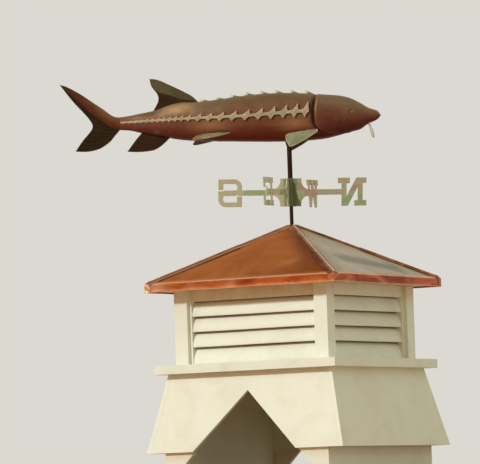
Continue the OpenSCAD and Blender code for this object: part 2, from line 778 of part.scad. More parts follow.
// One flank's strip of shields, each a flat plate with a horn at its front and a point below
module side_strip() {
    for (i = [0:large_shields + small_shields - 1]) {
        x1 = shield_x(i);
        x0 = shield_x(i + 1);
        y0 = body_at(x0, 3) + 1;
        y1 = body_at(x1, 3) + 1;
        climb = body_at(x1, 4) - body_at(x0, 4);
        long = sqrt((x1 - x0)*(x1 - x0) + (y1 - y0)*(y1 - y0));
        share = (x1 - fish_tail_x)/(shield_x(0) - fish_tail_x);
        horn = fish_k*(4 + 31*share + (i == 0 ? 5 : 0));
        low = fish_k*(5 + 21*share);
        band = fish_k*(3 + 2.4*share);
        edge = [
            [0, -band], [0.42, -band], [0.63, -low], [0.9, -band], [1.04, -band],
            [1.04, band], [1.02, horn*0.9], [1, horn], [0.8, horn*0.55], [0.5, band], [0, band]
        ];
        translate([x0, y0, body_at(x0, 4)]) rotate([0, 0, atan2(y1 - y0, x1 - x0)])
            rotate([90, 0, 0]) translate([0, 0, -side_shield_t]) linear_extrude(side_shield_t)
                polygon([for (point = edge) [point[0]*long, point[1] + climb*point[0]]]);
    }
}

module side_scutes() {
    color(shield_green) on_vane() for (hand = [0, 1]) mirror([0, hand, 0]) side_strip();
}

// Height of the body's underside at x and y
function under_at(x, y) =
    let(side = body_at(x, 4)) side - (side - body_at(x, 2))*sqrt(1 - pow(y/body_at(x, 3), 2));

// Four barbels in a row under the snout
module barbels() {
    x = 352*fish_k;
    length = 66*fish_k;
    tuck = 1.5;
    splay = 3;
    color(shield_green) on_vane() for (side = [-1, 1], place = [5, 13])
        translate([x, side*place*fish_k, under_at(x, place*fish_k) - tuck]) rotate([side*(place - splay), -14, 0])
            translate([0, 0, -length]) cylinder(r = barbel_r, h = length, $fn = 16);
}

// Half width of the head at x and at a height
function flank_at(x, z) =
    let(side = body_at(x, 4)) body_at(x, 3)*sqrt(1 - pow((z - side)/(body_at(x, 1) - side), 2));

// Eyes stand square on the head's skin
module eyes() {
    x = 279*fish_k;
    z = 8*fish_k;
    r = 8*fish_k;
    yaw = atan((flank_at(x + r, z) - flank_at(x - r, z))/(2*r));
    pitch = -atan((flank_at(x, z + r) - flank_at(x, z - r))/(2*r));
    color(dark_iron) on_vane() for (hand = [0, 1]) mirror([0, hand, 0])
        translate([x, flank_at(x, z), z]) rotate([pitch, 0, yaw]) translate([0, seat_gap + 0.2, 0])
            rotate([-90, 0, 0]) cylinder(r1 = r, r2 = r*0.7, h = 4*fish_k);
}

curb_front();
curb_back();
curb_left();
curb_right();
skirt_front();
skirt_back();
skirt_left();
skirt_right();
ledge_front();
ledge_back();
ledge_left();
ledge_right();
corner_front_left();
corner_front_right();
corner_back_left();
corner_back_right();
header_front();
header_back();
header_left();
header_right();
louvers_front();
louvers_back();
louvers_left();
louvers_right();
soffit();
roof_deck();
roof_sheets();
drip_edges();
hip_caps();
mast_rod();
compass_hub();
arm_north();
arm_south();
arm_east();
arm_west();
vane_sleeve();
fish_body();
tail_fin();
back_fin();
anal_fin();
pectoral_fins();
pelvic_fins();
back_scutes();
side_scutes();
barbels();
eyes();
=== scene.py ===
# %% [markdown]
# # A barn cupola with a sturgeon weathervane
#
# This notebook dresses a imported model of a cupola: a louvred wooden box, a low copper roof and a copper
# sturgeon that turns on a mast. The model gives every size. Here each visible surface gets its real edge,
# bend and finish. All lengths are in metres; `MM` turns a drawing's millimetres into them.

import math

import bmesh
import bpy
import numpy as np
from mathutils import Matrix, Vector, noise


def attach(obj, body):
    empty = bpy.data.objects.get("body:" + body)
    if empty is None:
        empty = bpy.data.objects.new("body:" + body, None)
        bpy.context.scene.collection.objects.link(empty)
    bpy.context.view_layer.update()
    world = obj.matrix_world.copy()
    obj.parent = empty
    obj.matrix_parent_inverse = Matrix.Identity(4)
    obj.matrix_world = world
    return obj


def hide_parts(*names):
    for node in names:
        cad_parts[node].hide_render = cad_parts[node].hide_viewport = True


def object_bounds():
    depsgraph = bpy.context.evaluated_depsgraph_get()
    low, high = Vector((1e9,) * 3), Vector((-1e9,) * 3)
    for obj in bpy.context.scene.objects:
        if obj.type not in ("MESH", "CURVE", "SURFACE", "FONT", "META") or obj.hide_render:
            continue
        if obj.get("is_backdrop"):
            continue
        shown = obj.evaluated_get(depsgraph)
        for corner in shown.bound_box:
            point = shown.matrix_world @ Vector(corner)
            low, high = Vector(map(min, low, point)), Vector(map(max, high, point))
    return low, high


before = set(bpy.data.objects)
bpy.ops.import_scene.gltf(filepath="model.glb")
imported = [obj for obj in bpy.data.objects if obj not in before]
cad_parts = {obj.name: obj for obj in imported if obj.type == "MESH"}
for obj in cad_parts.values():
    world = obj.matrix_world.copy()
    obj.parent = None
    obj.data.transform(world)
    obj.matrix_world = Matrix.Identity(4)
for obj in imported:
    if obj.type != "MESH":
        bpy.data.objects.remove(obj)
cad_low, cad_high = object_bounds()
scene = bpy.context.scene
MM = 0.001
print("nodes", len(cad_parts), "box", [round(v, 3) for v in (*cad_low, *cad_high)])

# %% [markdown]
# ## Camera
# A long lens far away keeps the box's sides nearly parallel, as in a telephoto picture. Its place comes
# from three angles and two small shifts of the camera itself, so nothing has to be cropped or shifted in
# the lens.

# %% Camera
TURN, CLIMB, ROLL = (math.radians(a) for a in (31.0, 3.54, 1.95))
DISTANCE, SLIDE, LIFT = 19.575, -0.2271, 0.5767
SENSOR, FOCAL = 36.0, 337.5
LEDGE_TOP = 0.526

forward = Vector((-math.sin(TURN)*math.cos(CLIMB), math.cos(TURN)*math.cos(CLIMB), math.sin(CLIMB)))
right = Vector((math.cos(TURN), math.sin(TURN), 0.0))
up = right.cross(forward)
eye = -DISTANCE*forward + SLIDE*right + LIFT*up + Vector((0, 0, LEDGE_TOP))
across = math.cos(ROLL)*right - math.sin(ROLL)*up
above = math.sin(ROLL)*right + math.cos(ROLL)*up

lens = bpy.data.cameras.new("camera")
lens.sensor_width, lens.lens = SENSOR, FOCAL
lens.clip_start, lens.clip_end = 0.1, 100.0
camera = bpy.data.objects.new("camera", lens)
scene.collection.objects.link(camera)
camera.matrix_world = Matrix.Translation(eye) @ Matrix((across, above, -forward)).transposed().to_4x4()
scene.camera = camera
scene.view_settings.view_transform = "Standard"
print("camera at", [round(v, 3) for v in eye])

# %% [markdown]
# ## Small tools for node trees
# Every finish below is a tree of nodes. `add` makes one node, sets its options and fills its sockets: a
# socket that is given another node's output gets a link, and anything else becomes its value. Building
# trees in code rather than by hand keeps each finish short enough to read, and easy to tune by one
# number.

# %% Adding nodes
def put(value, socket):
    if isinstance(value, bpy.types.NodeSocket):
        socket.id_data.links.new(value, socket)
    else:
        socket.default_value = (*value, 1.0) if socket.type == "RGBA" else value


def add(tree, kind, sockets=None, **options):
    node = tree.nodes.new("ShaderNode" + kind)
    for option, value in options.items():
        setattr(node, option, value)
    for name, value in (sockets or {}).items():
        put(value, node.inputs[name])
    return node


def new_finish(name):
    finish = bpy.data.materials.new(name)
    finish.use_nodes = True
    return finish, finish.node_tree


# %% [markdown]
# ## Places and noise
# A pattern needs a place to be read at. Object coordinates stay put on the part when it moves, so grain
# and stains don't swim. Squeezing them along one axis draws the noise out into streaks.

# %% Places and noise
def place_of(tree, scale=(1, 1, 1), shift=(0, 0, 0)):
    here = add(tree, "TexCoord").outputs["Object"]
    sockets = {"Vector": here, "Scale": scale, "Location": shift}
    return add(tree, "Mapping", sockets).outputs["Vector"]


def streak_place(tree, degrees, stretch):
    """Places that are stretched along a line turned about Z, for streaks."""
    here = add(tree, "TexCoord").outputs["Object"]
    sockets = {"Vector": here, "Rotation": (0, 0, math.radians(degrees)), "Scale": (stretch, 1, 1)}
    return add(tree, "Mapping", sockets, vector_type="TEXTURE").outputs["Vector"]


def speckle(place, scale, detail=3.0, rough=0.55, bend=0.0):
    sockets = {"Vector": place, "Scale": scale, "Detail": detail, "Roughness": rough, "Distortion": bend}
    return add(place.id_data, "TexNoise", sockets).outputs["Fac"]


def split(place):
    return add(place.id_data, "SeparateXYZ", {"Vector": place}).outputs


def mark(tree, name):
    """A value that the mesh carries at each point, or 0 where it has none of that name."""
    return add(tree, "Attribute", attribute_name=name).outputs["Fac"]


# %% [markdown]
# ## Sums and colours
# Noise comes out as a grey value. `spread` stretches a part of it over a new range, `ramp` turns it into
# colours, and `blend` lays one colour over another by a share from 0 to 1. That is all a weathered
# surface needs: a base, and a few thin `layers` over it.

# %% Sums and colours
def reckon(operation, a, b=0.0):
    return add(a.id_data, "Math", {0: a, 1: b}, operation=operation).outputs["Value"]


def times(a, b):
    return reckon("MULTIPLY", a, b)


def plus(a, b):
    return reckon("ADD", a, b)


def larger(a, b):
    return reckon("MAXIMUM", a, b)


def from_axis(tree):
    """Distance from the upright line through the part's middle."""
    xyz = split(place_of(tree))
    return reckon("SQRT", plus(times(xyz["X"], xyz["X"]), times(xyz["Y"], xyz["Y"])))


def spread(value, low, high, to_low=0.0, to_high=1.0):
    sockets = {"Value": value, "From Min": low, "From Max": high, "To Min": to_low, "To Max": to_high}
    return add(value.id_data, "MapRange", sockets).outputs["Result"]


def ramp(value, stops):
    """Colours, or plain numbers as greys, at rising values."""
    node = add(value.id_data, "ValToRGB", {"Fac": value})
    points = node.color_ramp.elements
    while len(points) < len(stops):
        points.new(0.5)
    for point, (at, color) in zip(points, stops):
        point.position = at
        point.color = (*(color if isinstance(color, tuple) else (color,)*3), 1.0)
    return node.outputs["Color"]


def blend(share, a, b):
    return add(share.id_data, "Mix", {0: share, 6: a, 7: b}, data_type="RGBA").outputs[2]


def layers(color, *coats):
    """Lays thin coats over a colour in turn: each is how much of it there is, and its own colour."""
    for share, top in coats:
        color = blend(share, color, top)
    return color


# %% [markdown]
# ## Relief
# Real surfaces are never smooth. A finish ends with a few bumps, one on another, from slow dents down to
# fine grit. Each is a height in millimetres, so its depth can be judged like a real one. `coat` fills the
# shader with all this.

# %% Relief
def relief(heights):
    """One bump on another: each pair is a height and how deep it is, in millimetres."""
    normal = None
    for height, depth in heights:
        sockets = {"Height": height, "Distance": depth*MM, "Strength": 1.0}
        if normal is not None:
            sockets["Normal"] = normal
        normal = add(height.id_data, "Bump", sockets).outputs["Normal"]
    return normal


def coat(finish, color, rough, heights, metal=0.0, gloss=0.5):
    sockets = {"Base Color": color, "Roughness": rough, "Metallic": metal, "Specular IOR Level": gloss,
               "Normal": relief(heights)}
    for name, value in sockets.items():
        put(value, finish.node_tree.nodes["Principled BSDF"].inputs[name])
    return finish


# %% [markdown]
# ## Studio light
# The world fills the shade, a little warmer from the lamp's side and cooler from the right, so that the
# box's two faces read apart. Shiny copper needs something to mirror, so camera and mirror rays see a pale
# wall that grows dimmer overhead.

# %% World
WALL = (0.71, 0.695, 0.64)
UPPER_WALL = (0.60, 0.46, 0.29)
OVERHEAD = (0.44, 0.34, 0.22)
WARM_FILL = (0.52, 0.35, 0.20)
COOL_FILL = (0.65, 0.70, 0.56)
COOL_SIDE = (0.77, 0.64)


def ray_share(tree, *kinds):
    """1 for rays of the named kinds and 0 for the rest."""
    rays = add(tree, "LightPath").outputs
    share = rays[kinds[0]]
    for kind in kinds[1:]:
        share = larger(share, rays[kind])
    return share


world = bpy.data.worlds.new("studio")
world.use_nodes = True
scene.world = world
tree = world.node_tree
tree.nodes.clear()
toward = split(add(tree, "TexCoord").outputs["Generated"])
wall = ramp(toward["Z"], [(0.0, WALL), (0.42, WALL), (0.60, UPPER_WALL), (1.0, OVERHEAD)])
seen = add(tree, "Background", {"Color": wall, "Strength": 1.0})
to_cool = plus(times(toward["X"], COOL_SIDE[0]), times(toward["Y"], COOL_SIDE[1]))
tint = blend(spread(to_cool, -0.5, 0.6), WARM_FILL, COOL_FILL)
fill = add(tree, "Background", {"Color": tint, "Strength": 1.0})
direct = ray_share(tree, "Is Camera Ray", "Is Glossy Ray", "Is Transmission Ray")
both = add(tree, "MixShader", {0: direct, 1: fill.outputs[0], 2: seen.outputs[0]})
add(tree, "OutputWorld", {"Surface": both.outputs[0]})
print("world nodes", len(tree.nodes))

# %% [markdown]
# ## Lamp
# One broad lamp stands front left and low. It throws the soft shadow under the eaves and the ledge, which
# is what shows how far they stand out.

# %% Lamp
LAMP_TURN, LAMP_CLIMB = math.radians(-15), math.radians(28)
towards = Vector((math.sin(LAMP_TURN)*math.cos(LAMP_CLIMB), -math.cos(LAMP_TURN)*math.cos(LAMP_CLIMB),
                  math.sin(LAMP_CLIMB)))
light = bpy.data.lights.new("key", "SUN")
light.energy, light.angle, light.color = 2.02, math.radians(5.0), (0.875, 1.0, 0.97)
lamp = bpy.data.objects.new("key", light)
lamp.rotation_mode = "QUATERNION"
lamp.rotation_quaternion = towards.to_track_quat("Z", "Y")
scene.collection.objects.link(lamp)
print("lamp shines from", [round(v, 2) for v in towards])

# %% [markdown]
# ## Floor
# A pale disc under the object keeps its shadow. Its rim fades out, so no edge shows from above. Only the
# camera and mirrors see it pale: to the rest it is as brown as the roof that a cupola stands on, which
# keeps the light that comes up from below as weak as it is there.

# %% Floor
FLOOR_R, FLOOR_SIDES = 6.5, 96
PALE, PALER = (0.78, 0.785, 0.79), (0.83, 0.84, 0.845)
ROOF_BROWN = (0.50, 0.36, 0.22)

floor_finish, tree = new_finish("studio_floor")
here = place_of(tree)
pale = blend(speckle(here, 3.0, 5.0), PALE, PALER)
color = blend(ray_share(tree, "Is Camera Ray", "Is Glossy Ray"), ROOF_BROWN, pale)
coat(floor_finish, color, 0.9, [(speckle(here, 60.0), 0.4)], gloss=0.2)
solid = tree.nodes["Principled BSDF"].outputs[0]
gone = add(tree, "BsdfTransparent").outputs[0]
fading = spread(from_axis(tree), FLOOR_R*0.6, FLOOR_R*0.98)
edge = add(tree, "MixShader", {0: fading, 1: solid, 2: gone})
put(edge.outputs[0], tree.nodes["Material Output"].inputs["Surface"])

ring = [(FLOOR_R*math.cos(a), FLOOR_R*math.sin(a), 0)
        for a in np.linspace(0, 2*math.pi, FLOOR_SIDES, endpoint=False)]
mesh = bpy.data.meshes.new("floor")
mesh.from_pydata(ring, [], [tuple(range(FLOOR_SIDES))])
mesh.materials.append(floor_finish)
floor = bpy.data.objects.new("floor", mesh)
scene.collection.objects.link(floor)
floor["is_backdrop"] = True
print("floor", 2*FLOOR_R, "m across")

# %% [markdown]
# ## Paint
# The boards are pine under several coats of cream paint. Paint hides the grain's colour but not its
# relief, so the colour has only soft patches and a warm stain where water runs off a ledge, while the
# bump carries brush marks that follow each board. The warm stain under the skirt, the ledge and the eaves
# is also painted shade: it is strongest on the front and back boards and weakest on the side ones. One
# function makes the finish for each of the three directions that boards run in.

# %% Paint
CREAM = [(0.30, (0.775, 0.755, 0.65)), (0.50, (0.84, 0.83, 0.745)), (0.72, (0.86, 0.85, 0.785))]
RAIN_RUN, STAIN = (0.70, 0.64, 0.50), (0.66, 0.325, 0.115)
# The last colour darkens the louvre blades: grime, and painted shade under each blade's nose.
BRUSHED, GRIME = (0.72, 0.67, 0.55), (0.42, 0.19, 0.07)
# How much stain and painted warm shade there is at each height: most under the skirt, the ledge and the
# eaves.
WET = [(0.100, 0.05), (0.148, 0.55), (0.150, 0.12), (0.24, 0.04), (0.44, 0.06), (0.486, 0.36), (0.490, 0.06),
       (0.540, 0.0), (0.77, 0.0), (0.80, 0.55), (0.845, 0.80), (0.852, 0.8)]


def paint(name, grain, stained):
    finish, tree = new_finish(name)
    stretch = [1.0, 1.0, 1.0]
    stretch[grain] = 0.05
    along, here = place_of(tree, stretch), place_of(tree)
    patches = speckle(here, 6.0, 4.0, 0.6, 0.6)
    runs = spread(speckle(place_of(tree, (1, 1, 0.12)), 34.0), 0.50, 0.80)
    # Stain and painted warm shade under the skirt, the ledge and the eaves, broken up by noise.
    wet = times(ramp(split(here)["Z"], WET), spread(speckle(here, 22.0, 4.0), 0.25, 0.75, 0.35, 1.0))
    fine = speckle(along, 420.0, 2.0)
    color = layers(ramp(patches, CREAM), (times(runs, 0.16), RAIN_RUN),
                   (times(wet, stained), STAIN), (spread(fine, 0.35, 0.75, 0.0, 0.10), BRUSHED),
                   (mark(tree, "grime"), GRIME))
    return coat(finish, color, spread(patches, 0.3, 0.7, 0.42, 0.58),
                [(speckle(along, 40.0, 4.0), 0.9), (fine, 0.25)], gloss=0.35)


# Boards along x, on the front and back, carry the most painted warm shade, and boards along y the least.
PAINT = [paint("paint_along_" + axis, i, stained)
         for i, (axis, stained) in enumerate((("x", 1.0), ("y", 0.22), ("z", 0.6)))]
print("paints", [finish.name for finish in PAINT])

# %% [markdown]
# ## Painted boards
# The model's boards have the right size but knife-sharp edges, which no brush would cover. A bevel of
# about a millimetre rounds them where they stand. It is a modifier, so the model's own mesh stays as it
# is. The model's split vertices are joined first, so that the bevel finds whole edges.

# %% Painted boards
WELD, ROUND_OVER = 0.00002, math.radians(28)


def dress(node, finish, width=1.2):
    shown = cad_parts[node]
    shown.modifiers.new("join", "WELD").merge_threshold = WELD
    bevel = shown.modifiers.new("round", "BEVEL")
    bevel.width, bevel.segments = width*MM, 2
    bevel.limit_method, bevel.angle_limit = "ANGLE", ROUND_OVER
    shown.modifiers.new("even", "WEIGHTED_NORMAL").keep_sharp = False
    shown.data.materials.clear()
    shown.data.materials.append(finish)


for side, axis in (("front", 0), ("back", 0), ("left", 1), ("right", 1)):
    for board in ("curb", "skirt", "ledge", "header"):
        dress("%s_%s" % (board, side), PAINT[axis], 1.6 if board == "ledge" else 1.1)
    for other in ("left", "right") if axis == 0 else ():
        dress("corner_%s_%s" % (side, other), PAINT[2])
dress("soffit", PAINT[0])
dress("roof_deck", PAINT[1])
print("painted boards", sum(len(shown.modifiers) > 0 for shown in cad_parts.values()))

# %% [markdown]
# ## Sheets and tubes
# A thin sheet is two grids of points, one for each face, sewn together round the rim. A tube is a stack
# of rings. Both are plain arrays, so a piece's shape can be written as a formula and then pressed, bent
# or dented. A piece may carry marks: a value at each point that tells its finish where an edge, a rib or
# a stain is.

# %% Sheets and tubes
def points_at(x, y, z):
    """Points from three coordinates, each of which may be a number, a row, a column or a whole grid."""
    return np.stack(np.broadcast_arrays(x, y, z), axis=-1)


def on_grid(marks, shape, copies=1):
    return {name: np.tile(np.broadcast_to(values, shape).ravel(), copies) for name, values in marks.items()}


def shell(outer, inner, **marks):
    rows, cols = outer.shape[:2]
    count = rows*cols

    def at(i, j, k):
        return k*count + i*cols + j

    faces = []
    for i in range(rows - 1):
        for j in range(cols - 1):
            faces.append((at(i, j, 0), at(i, j + 1, 0), at(i + 1, j + 1, 0), at(i + 1, j, 0)))
            faces.append((at(i, j, 1), at(i + 1, j, 1), at(i + 1, j + 1, 1), at(i, j + 1, 1)))
        for j, k in ((0, 1), (cols - 1, 0)):
            faces.append((at(i, j, 1 - k), at(i + 1, j, 1 - k), at(i + 1, j, k), at(i, j, k)))
    for j in range(cols - 1):
        for i, k in ((0, 0), (rows - 1, 1)):
            faces.append((at(i, j, 1 - k), at(i, j + 1, 1 - k), at(i, j + 1, k), at(i, j, k)))
    verts = np.concatenate([outer.reshape(-1, 3), inner.reshape(-1, 3)])
    return verts, faces, on_grid(marks, (rows, cols), 2)


def tube(rings, **marks):
    rows, cols = rings.shape[:2]
    faces = [(a + j, a + (j + 1) % cols, a + cols + (j + 1) % cols, a + cols + j)
             for a in range(0, (rows - 1)*cols, cols) for j in range(cols)]
    faces += [tuple(range(cols)), tuple((rows - 1)*cols + j for j in range(cols - 1, -1, -1))]
    return rings.reshape(-1, 3), faces, on_grid(marks, (rows, cols))


# %% [markdown]
# ## Turning, waving and building
# The cupola has four like sides, so a part is drawn once, on the front, and turned by quarters. Smooth
# noise gives each copy its own slight wander, as hand work has, and a `bump` raises a small place.
# `build` joins a piece's parts and their marks into one object, hides the plain solid that it stands for,
# and says which body it moves with.

# %% Turning, waving and building
def turned(part, turn):
    verts, faces, marks = part
    c, s = ((1, 0), (0, 1), (-1, 0), (0, -1))[turn]
    x, y, z = verts.T
    return np.stack([x*c - y*s, x*s + y*c, z], axis=1), faces, marks


def bump(away, wide):
    """1 in the middle and next to nothing at twice the width."""
    return np.exp(-(away/wide)**2)


def wave(points, scale, shift=0.0):
    """Smooth noise between about -1 and 1 at each point."""
    flat = points.reshape(-1, 3)*scale + shift
    return np.array([noise.noise(Vector(p)) for p in flat]).reshape(points.shape[:-1])*1.6


def join(parts):
    faces, marks, start = [], {}, 0
    verts = np.concatenate([part[0] for part in parts])
    for part_verts, part_faces, part_marks in parts:
        end = start + len(part_verts)
        faces += [tuple(start + v for v in face) for face in part_faces]
        for name, values in part_marks.items():
            marks.setdefault(name, np.zeros(len(verts), np.float32))[start:end] = values
        start = end
    return verts, faces, marks


def build(name, parts, finish, node, sharp=35, body="cupola", stand=None):
    verts, faces, marks = join(parts)
    mesh = bpy.data.meshes.new(name)
    mesh.from_pydata(verts.tolist(), [], faces)
    for kind, values in marks.items():
        mesh.attributes.new(kind, "FLOAT", "POINT").data.foreach_set("value", values)
    tidy = bmesh.new()
    tidy.from_mesh(mesh)
    bmesh.ops.recalc_face_normals(tidy, faces=tidy.faces)
    tidy.to_mesh(mesh)
    tidy.free()
    mesh.polygons.foreach_set("use_smooth", [True]*len(mesh.polygons))
    mesh.set_sharp_from_angle(angle=math.radians(sharp))
    mesh.materials.append(finish)
    piece = bpy.data.objects.new(name, mesh)
    scene.collection.objects.link(piece)
    if stand is not None:
        piece.matrix_world = stand
    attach(piece, body)
    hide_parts(node)
    print(name, len(mesh.vertices), "points")


# %% [markdown]
# ## Louvre blades
# Each blade is a milled slat with a round nose and a bowed face, let into the posts. An extruded arc
# would look stamped, so the section is drawn point by point and swept along the opening with a little
# wander, as old slats have. The nose throws the thin dark line that makes the louvres read from far off.
# A mark darkens the back of each blade as grime where no rain reaches, and its nose and the top of its
# face, under the blade above, as painted shade.

# %% Louvre blades
BLADE_HALF, BLADE_T, BLADE_PITCH = 0.305, 0.0070, 0.06575
BLADE_FACE, BLADE_FOOT = -0.358, 0.536
BLADE_DEEP, BLADE_RISE, BLADE_BOW = 0.034, 0.0725, math.radians(48)
NOSE_SHARE, NOSE_GRIME = 0.055, (0.9, 0.9, 0.8, 0.6, 0.3, 0.1, 0.0)
OFF_LEDGE, BLADE_WAVY = 0.0006, (0.0006, 0.0007)


def blade_section():
    """The outline across a blade, and the grime and painted shade at each of its points."""
    start = math.atan2(BLADE_RISE, BLADE_DEEP) + BLADE_BOW/2
    arc = math.hypot(BLADE_RISE, BLADE_DEEP)/2/math.sin(BLADE_BOW/2)

    def at(share, inset):
        t, r = start - BLADE_BOW*share, arc - inset
        return np.array([arc*math.sin(start) - r*math.sin(t), r*math.cos(t) - arc*math.cos(start)])

    face, back = np.linspace(NOSE_SHARE, 1, 16), np.linspace(1, NOSE_SHARE, 12)
    middle, half = at(NOSE_SHARE, BLADE_T/2), (at(NOSE_SHARE, 0) - at(NOSE_SHARE, BLADE_T))/2
    ahead = at(0, BLADE_T/2) - middle
    outline = [at(share, 0) for share in face] + [at(share, BLADE_T) for share in back]
    outline += [middle - half*math.cos(a) + ahead*math.sin(a)
                for a in np.linspace(0, math.pi, len(NOSE_GRIME) + 2)[1:-1]]
    grime = [*np.interp(face, [0.80, 0.90], [0, 1]), *[0.9]*len(back), *NOSE_GRIME]
    return np.array(outline), np.array(grime)


def blade(turn, i):
    section, grime = blade_section()
    x = np.linspace(-BLADE_HALF, BLADE_HALF, 27)[:, None]
    height = BLADE_FOOT + i*BLADE_PITCH + section[:, 1]
    if i == 0:
        top, foot = height.max(), height.min()
        height = top - (top - height)*(top - LEDGE_TOP - OFF_LEDGE)/(top - foot)
    rings = points_at(x, BLADE_FACE + section[:, 0], height)
    line, seed = rings[:, :1]*(1, 0, 1), 10*turn + 3*i
    rings[:, :, 1] += BLADE_WAVY[0]*wave(line, 5.0, seed)
    rings[:, :, 2] += BLADE_WAVY[1]*wave(line, 3.0, 50 + seed)
    return turned(tube(rings, grime=grime), turn)


for turn, side in enumerate(("front", "right", "back", "left")):
    build("louver_blades_" + side, [blade(turn, i) for i in range(4)], PAINT[turn % 2], "louvers_" + side,
          50)

# %% [markdown]
# ## Roof copper
# The four roof sheets are soft copper that has gone satin brown-orange. Copper shows its surroundings
# more than its own colour, so the finish is full metal with an uneven roughness. Cloudy oxide and streaks
# down the slope come from noise. Three marks that the mesh carries place the rest: `hip` is the distance
# to the nearest hip, which is scorched by soldering, one is how pale grey a sheet is, partly a weathered
# film and partly a painted reflection of the sky, most of all on the right-hand sheet, and `soot` is a
# dark run.

# %% Roof copper
ORANGE = [(0.22, (0.48, 0.135, 0.006)), (0.50, (0.63, 0.188, 0.010)), (0.78, (0.76, 0.26, 0.022))]
FLECK, SCORCHED = (0.36, 0.12, 0.03), (0.30, 0.085, 0.030)
GREY_FILM, SOOTY = (0.470, 0.456, 0.330), (0.10, 0.088, 0.052)


def roof_copper():
    finish, tree = new_finish("roof_copper")
    here, haze = place_of(tree), mark(tree, "haze")
    clouds, small = speckle(here, 5.0, 5.0, 0.62, 0.8), speckle(here, 38.0, 4.0, 0.6)
    ragged = spread(speckle(here, 30.0, 5.0, 0.7), 0.2, 0.8, -0.020, 0.020)
    scorch = spread(plus(mark(tree, "hip"), ragged), 0.020, 0.085, 0.62, 0.0)
    patches = speckle(place_of(tree, (1, 0.35, 1)), 11.0, 6.0, 0.65, 1.2)
    # A pale grey film, partly weathering and partly a painted reflection of the sky.
    film = times(haze, spread(patches, 0.30, 0.62, 0.82, 1.0))
    streaks = speckle(streak_place(tree, 42, 5.0), 16.0, 4.0, 0.6, 0.4)
    faint = times(spread(streaks, 0.52, 0.72, 0.0, 0.30), haze)
    strong = times(spread(streaks, 0.32, 0.54, 0.42, 0.80), mark(tree, "soot"))
    color = layers(ramp(clouds, ORANGE), (spread(small, 0.58, 0.80, 0.0, 0.30), FLECK),
                   (scorch, SCORCHED), (film, GREY_FILM), (larger(faint, strong), SOOTY))
    rough = plus(spread(clouds, 0.3, 0.7, 0.40, 0.26), times(scorch, 0.2))
    heights = [(speckle(here, 9.0), 2.2), (small, 0.35), (speckle(here, 260.0, 2.0), 0.06)]
    return coat(finish, color, rough, heights, metal=1.0)


# %% [markdown]
# ## Roof sheets
# Hand-laid sheet is never flat, so each one carries real dents that bend the mirror image and die out at
# the hips and the eave, where it is nailed. The front sheet is darker red-brown towards its right corner
# and lighter beside its left hip.

# %% Roof sheets
POINT_Z, EAVE_Z, EAVE_HALF = 1.129, 0.878, 0.4705
SLOPE = (POINT_Z - EAVE_Z)/EAVE_HALF
SHEET_HALF, SHEET_T, MAST_HOLE, OVER_DRIP = 0.469, 0.0015, 0.009, 0.0005
# A sheet lies flat this close to a hip and to the eave. Its dents: the usual depth, how much the slow and
# the quick ones add to it, and the deepest.
NAIL_HIP, NAIL_EAVE = 0.06, 0.05
DENT, SLOW_DENT, QUICK_DENT, DEEPEST = 0.0016, 0.0022, 0.0008, 0.006
# How far each sheet is pale grey, partly weathering and partly a painted sky reflection: front, right, back
# and left.
HAZE = (0.0, 1.0, 0.12, 0.35)
# The dark run on the right-hand sheet lies along this line, drawn before the sheet is turned.
SOOT_LINE, SOOT_WIDE, SOOT_TURN = np.array([(-0.125, -0.318), (0.215, -0.392)]), 0.047, 1


def from_line(points, a, b):
    """How far along the line from a to b each point lies, as a share, and how far it is from the line."""
    run = b - a
    share = np.clip((points - a)@run/(run@run), 0, 1)
    return share, np.linalg.norm(points - a - share[..., None]*run, axis=-1)


def roof_sheet(turn):
    """A fan of points from the mast's hole out to the eave, so that its edges lie exactly on the hips."""
    angle, share = np.linspace(-math.pi/4, math.pi/4, 61), np.linspace(0, 1, 57)[:, None]
    reach = MAST_HOLE*(1 - share) + share*SHEET_HALF/np.cos(angle)
    x, y = reach*np.sin(angle), -reach*np.cos(angle)
    flat = points_at(x, y, POINT_Z + y*SLOPE)
    normal = np.array([0, -SLOPE, 1])/math.hypot(1, SLOPE)
    hip = (-y - np.abs(x))/math.sqrt(2)*math.cos(math.atan(SLOPE)*0.6)
    nailed = np.clip(hip/NAIL_HIP, 0, 1)*np.clip((SHEET_HALF + y)/NAIL_EAVE, 0, 1)
    dent = DENT + SLOW_DENT*wave(flat, 4.2, 7*turn) + QUICK_DENT*wave(flat, 13.0, 30 + 7*turn)
    outer = flat + normal*(np.clip(dent, 0, DEEPEST)*nailed)[:, :, None] - (0, OVER_DRIP, 0)
    inner = flat - normal*SHEET_T - (0, OVER_DRIP, 0)
    soot = np.exp(-(from_line(flat[:, :, :2], *SOOT_LINE)[1]/SOOT_WIDE)**3)*(turn == SOOT_TURN)
    if turn == 0:
        baked = np.clip((x - 0.18)/0.09, 0, 1)
        hip = hip*(1 - baked) + np.minimum(hip, 0.050)*baked + 0.045*np.clip(-x/0.05, 0, 1)
    return turned(shell(outer, inner, hip=hip, soot=soot, haze=HAZE[turn]), turn)


sheets = [roof_sheet(turn) for turn in range(4)]
build("copper_roof_sheets", sheets, roof_copper(), "roof_sheets")
print("roof slope, degrees:", round(math.degrees(math.atan(SLOPE)), 1))

# %% [markdown]
# ## Trim copper
# The caps and the drip edges are copper too, but handled, hammered and rubbed. Dark runs lie over a
# redder metal, and one mark lays a bright colour over it: bare copper where a fold stands proud, and a
# painted highlight along the caps' rolls and the drip edges' lips, hems and front. One function makes
# both: only its colours differ, and how much of a metal the bright colour looks.

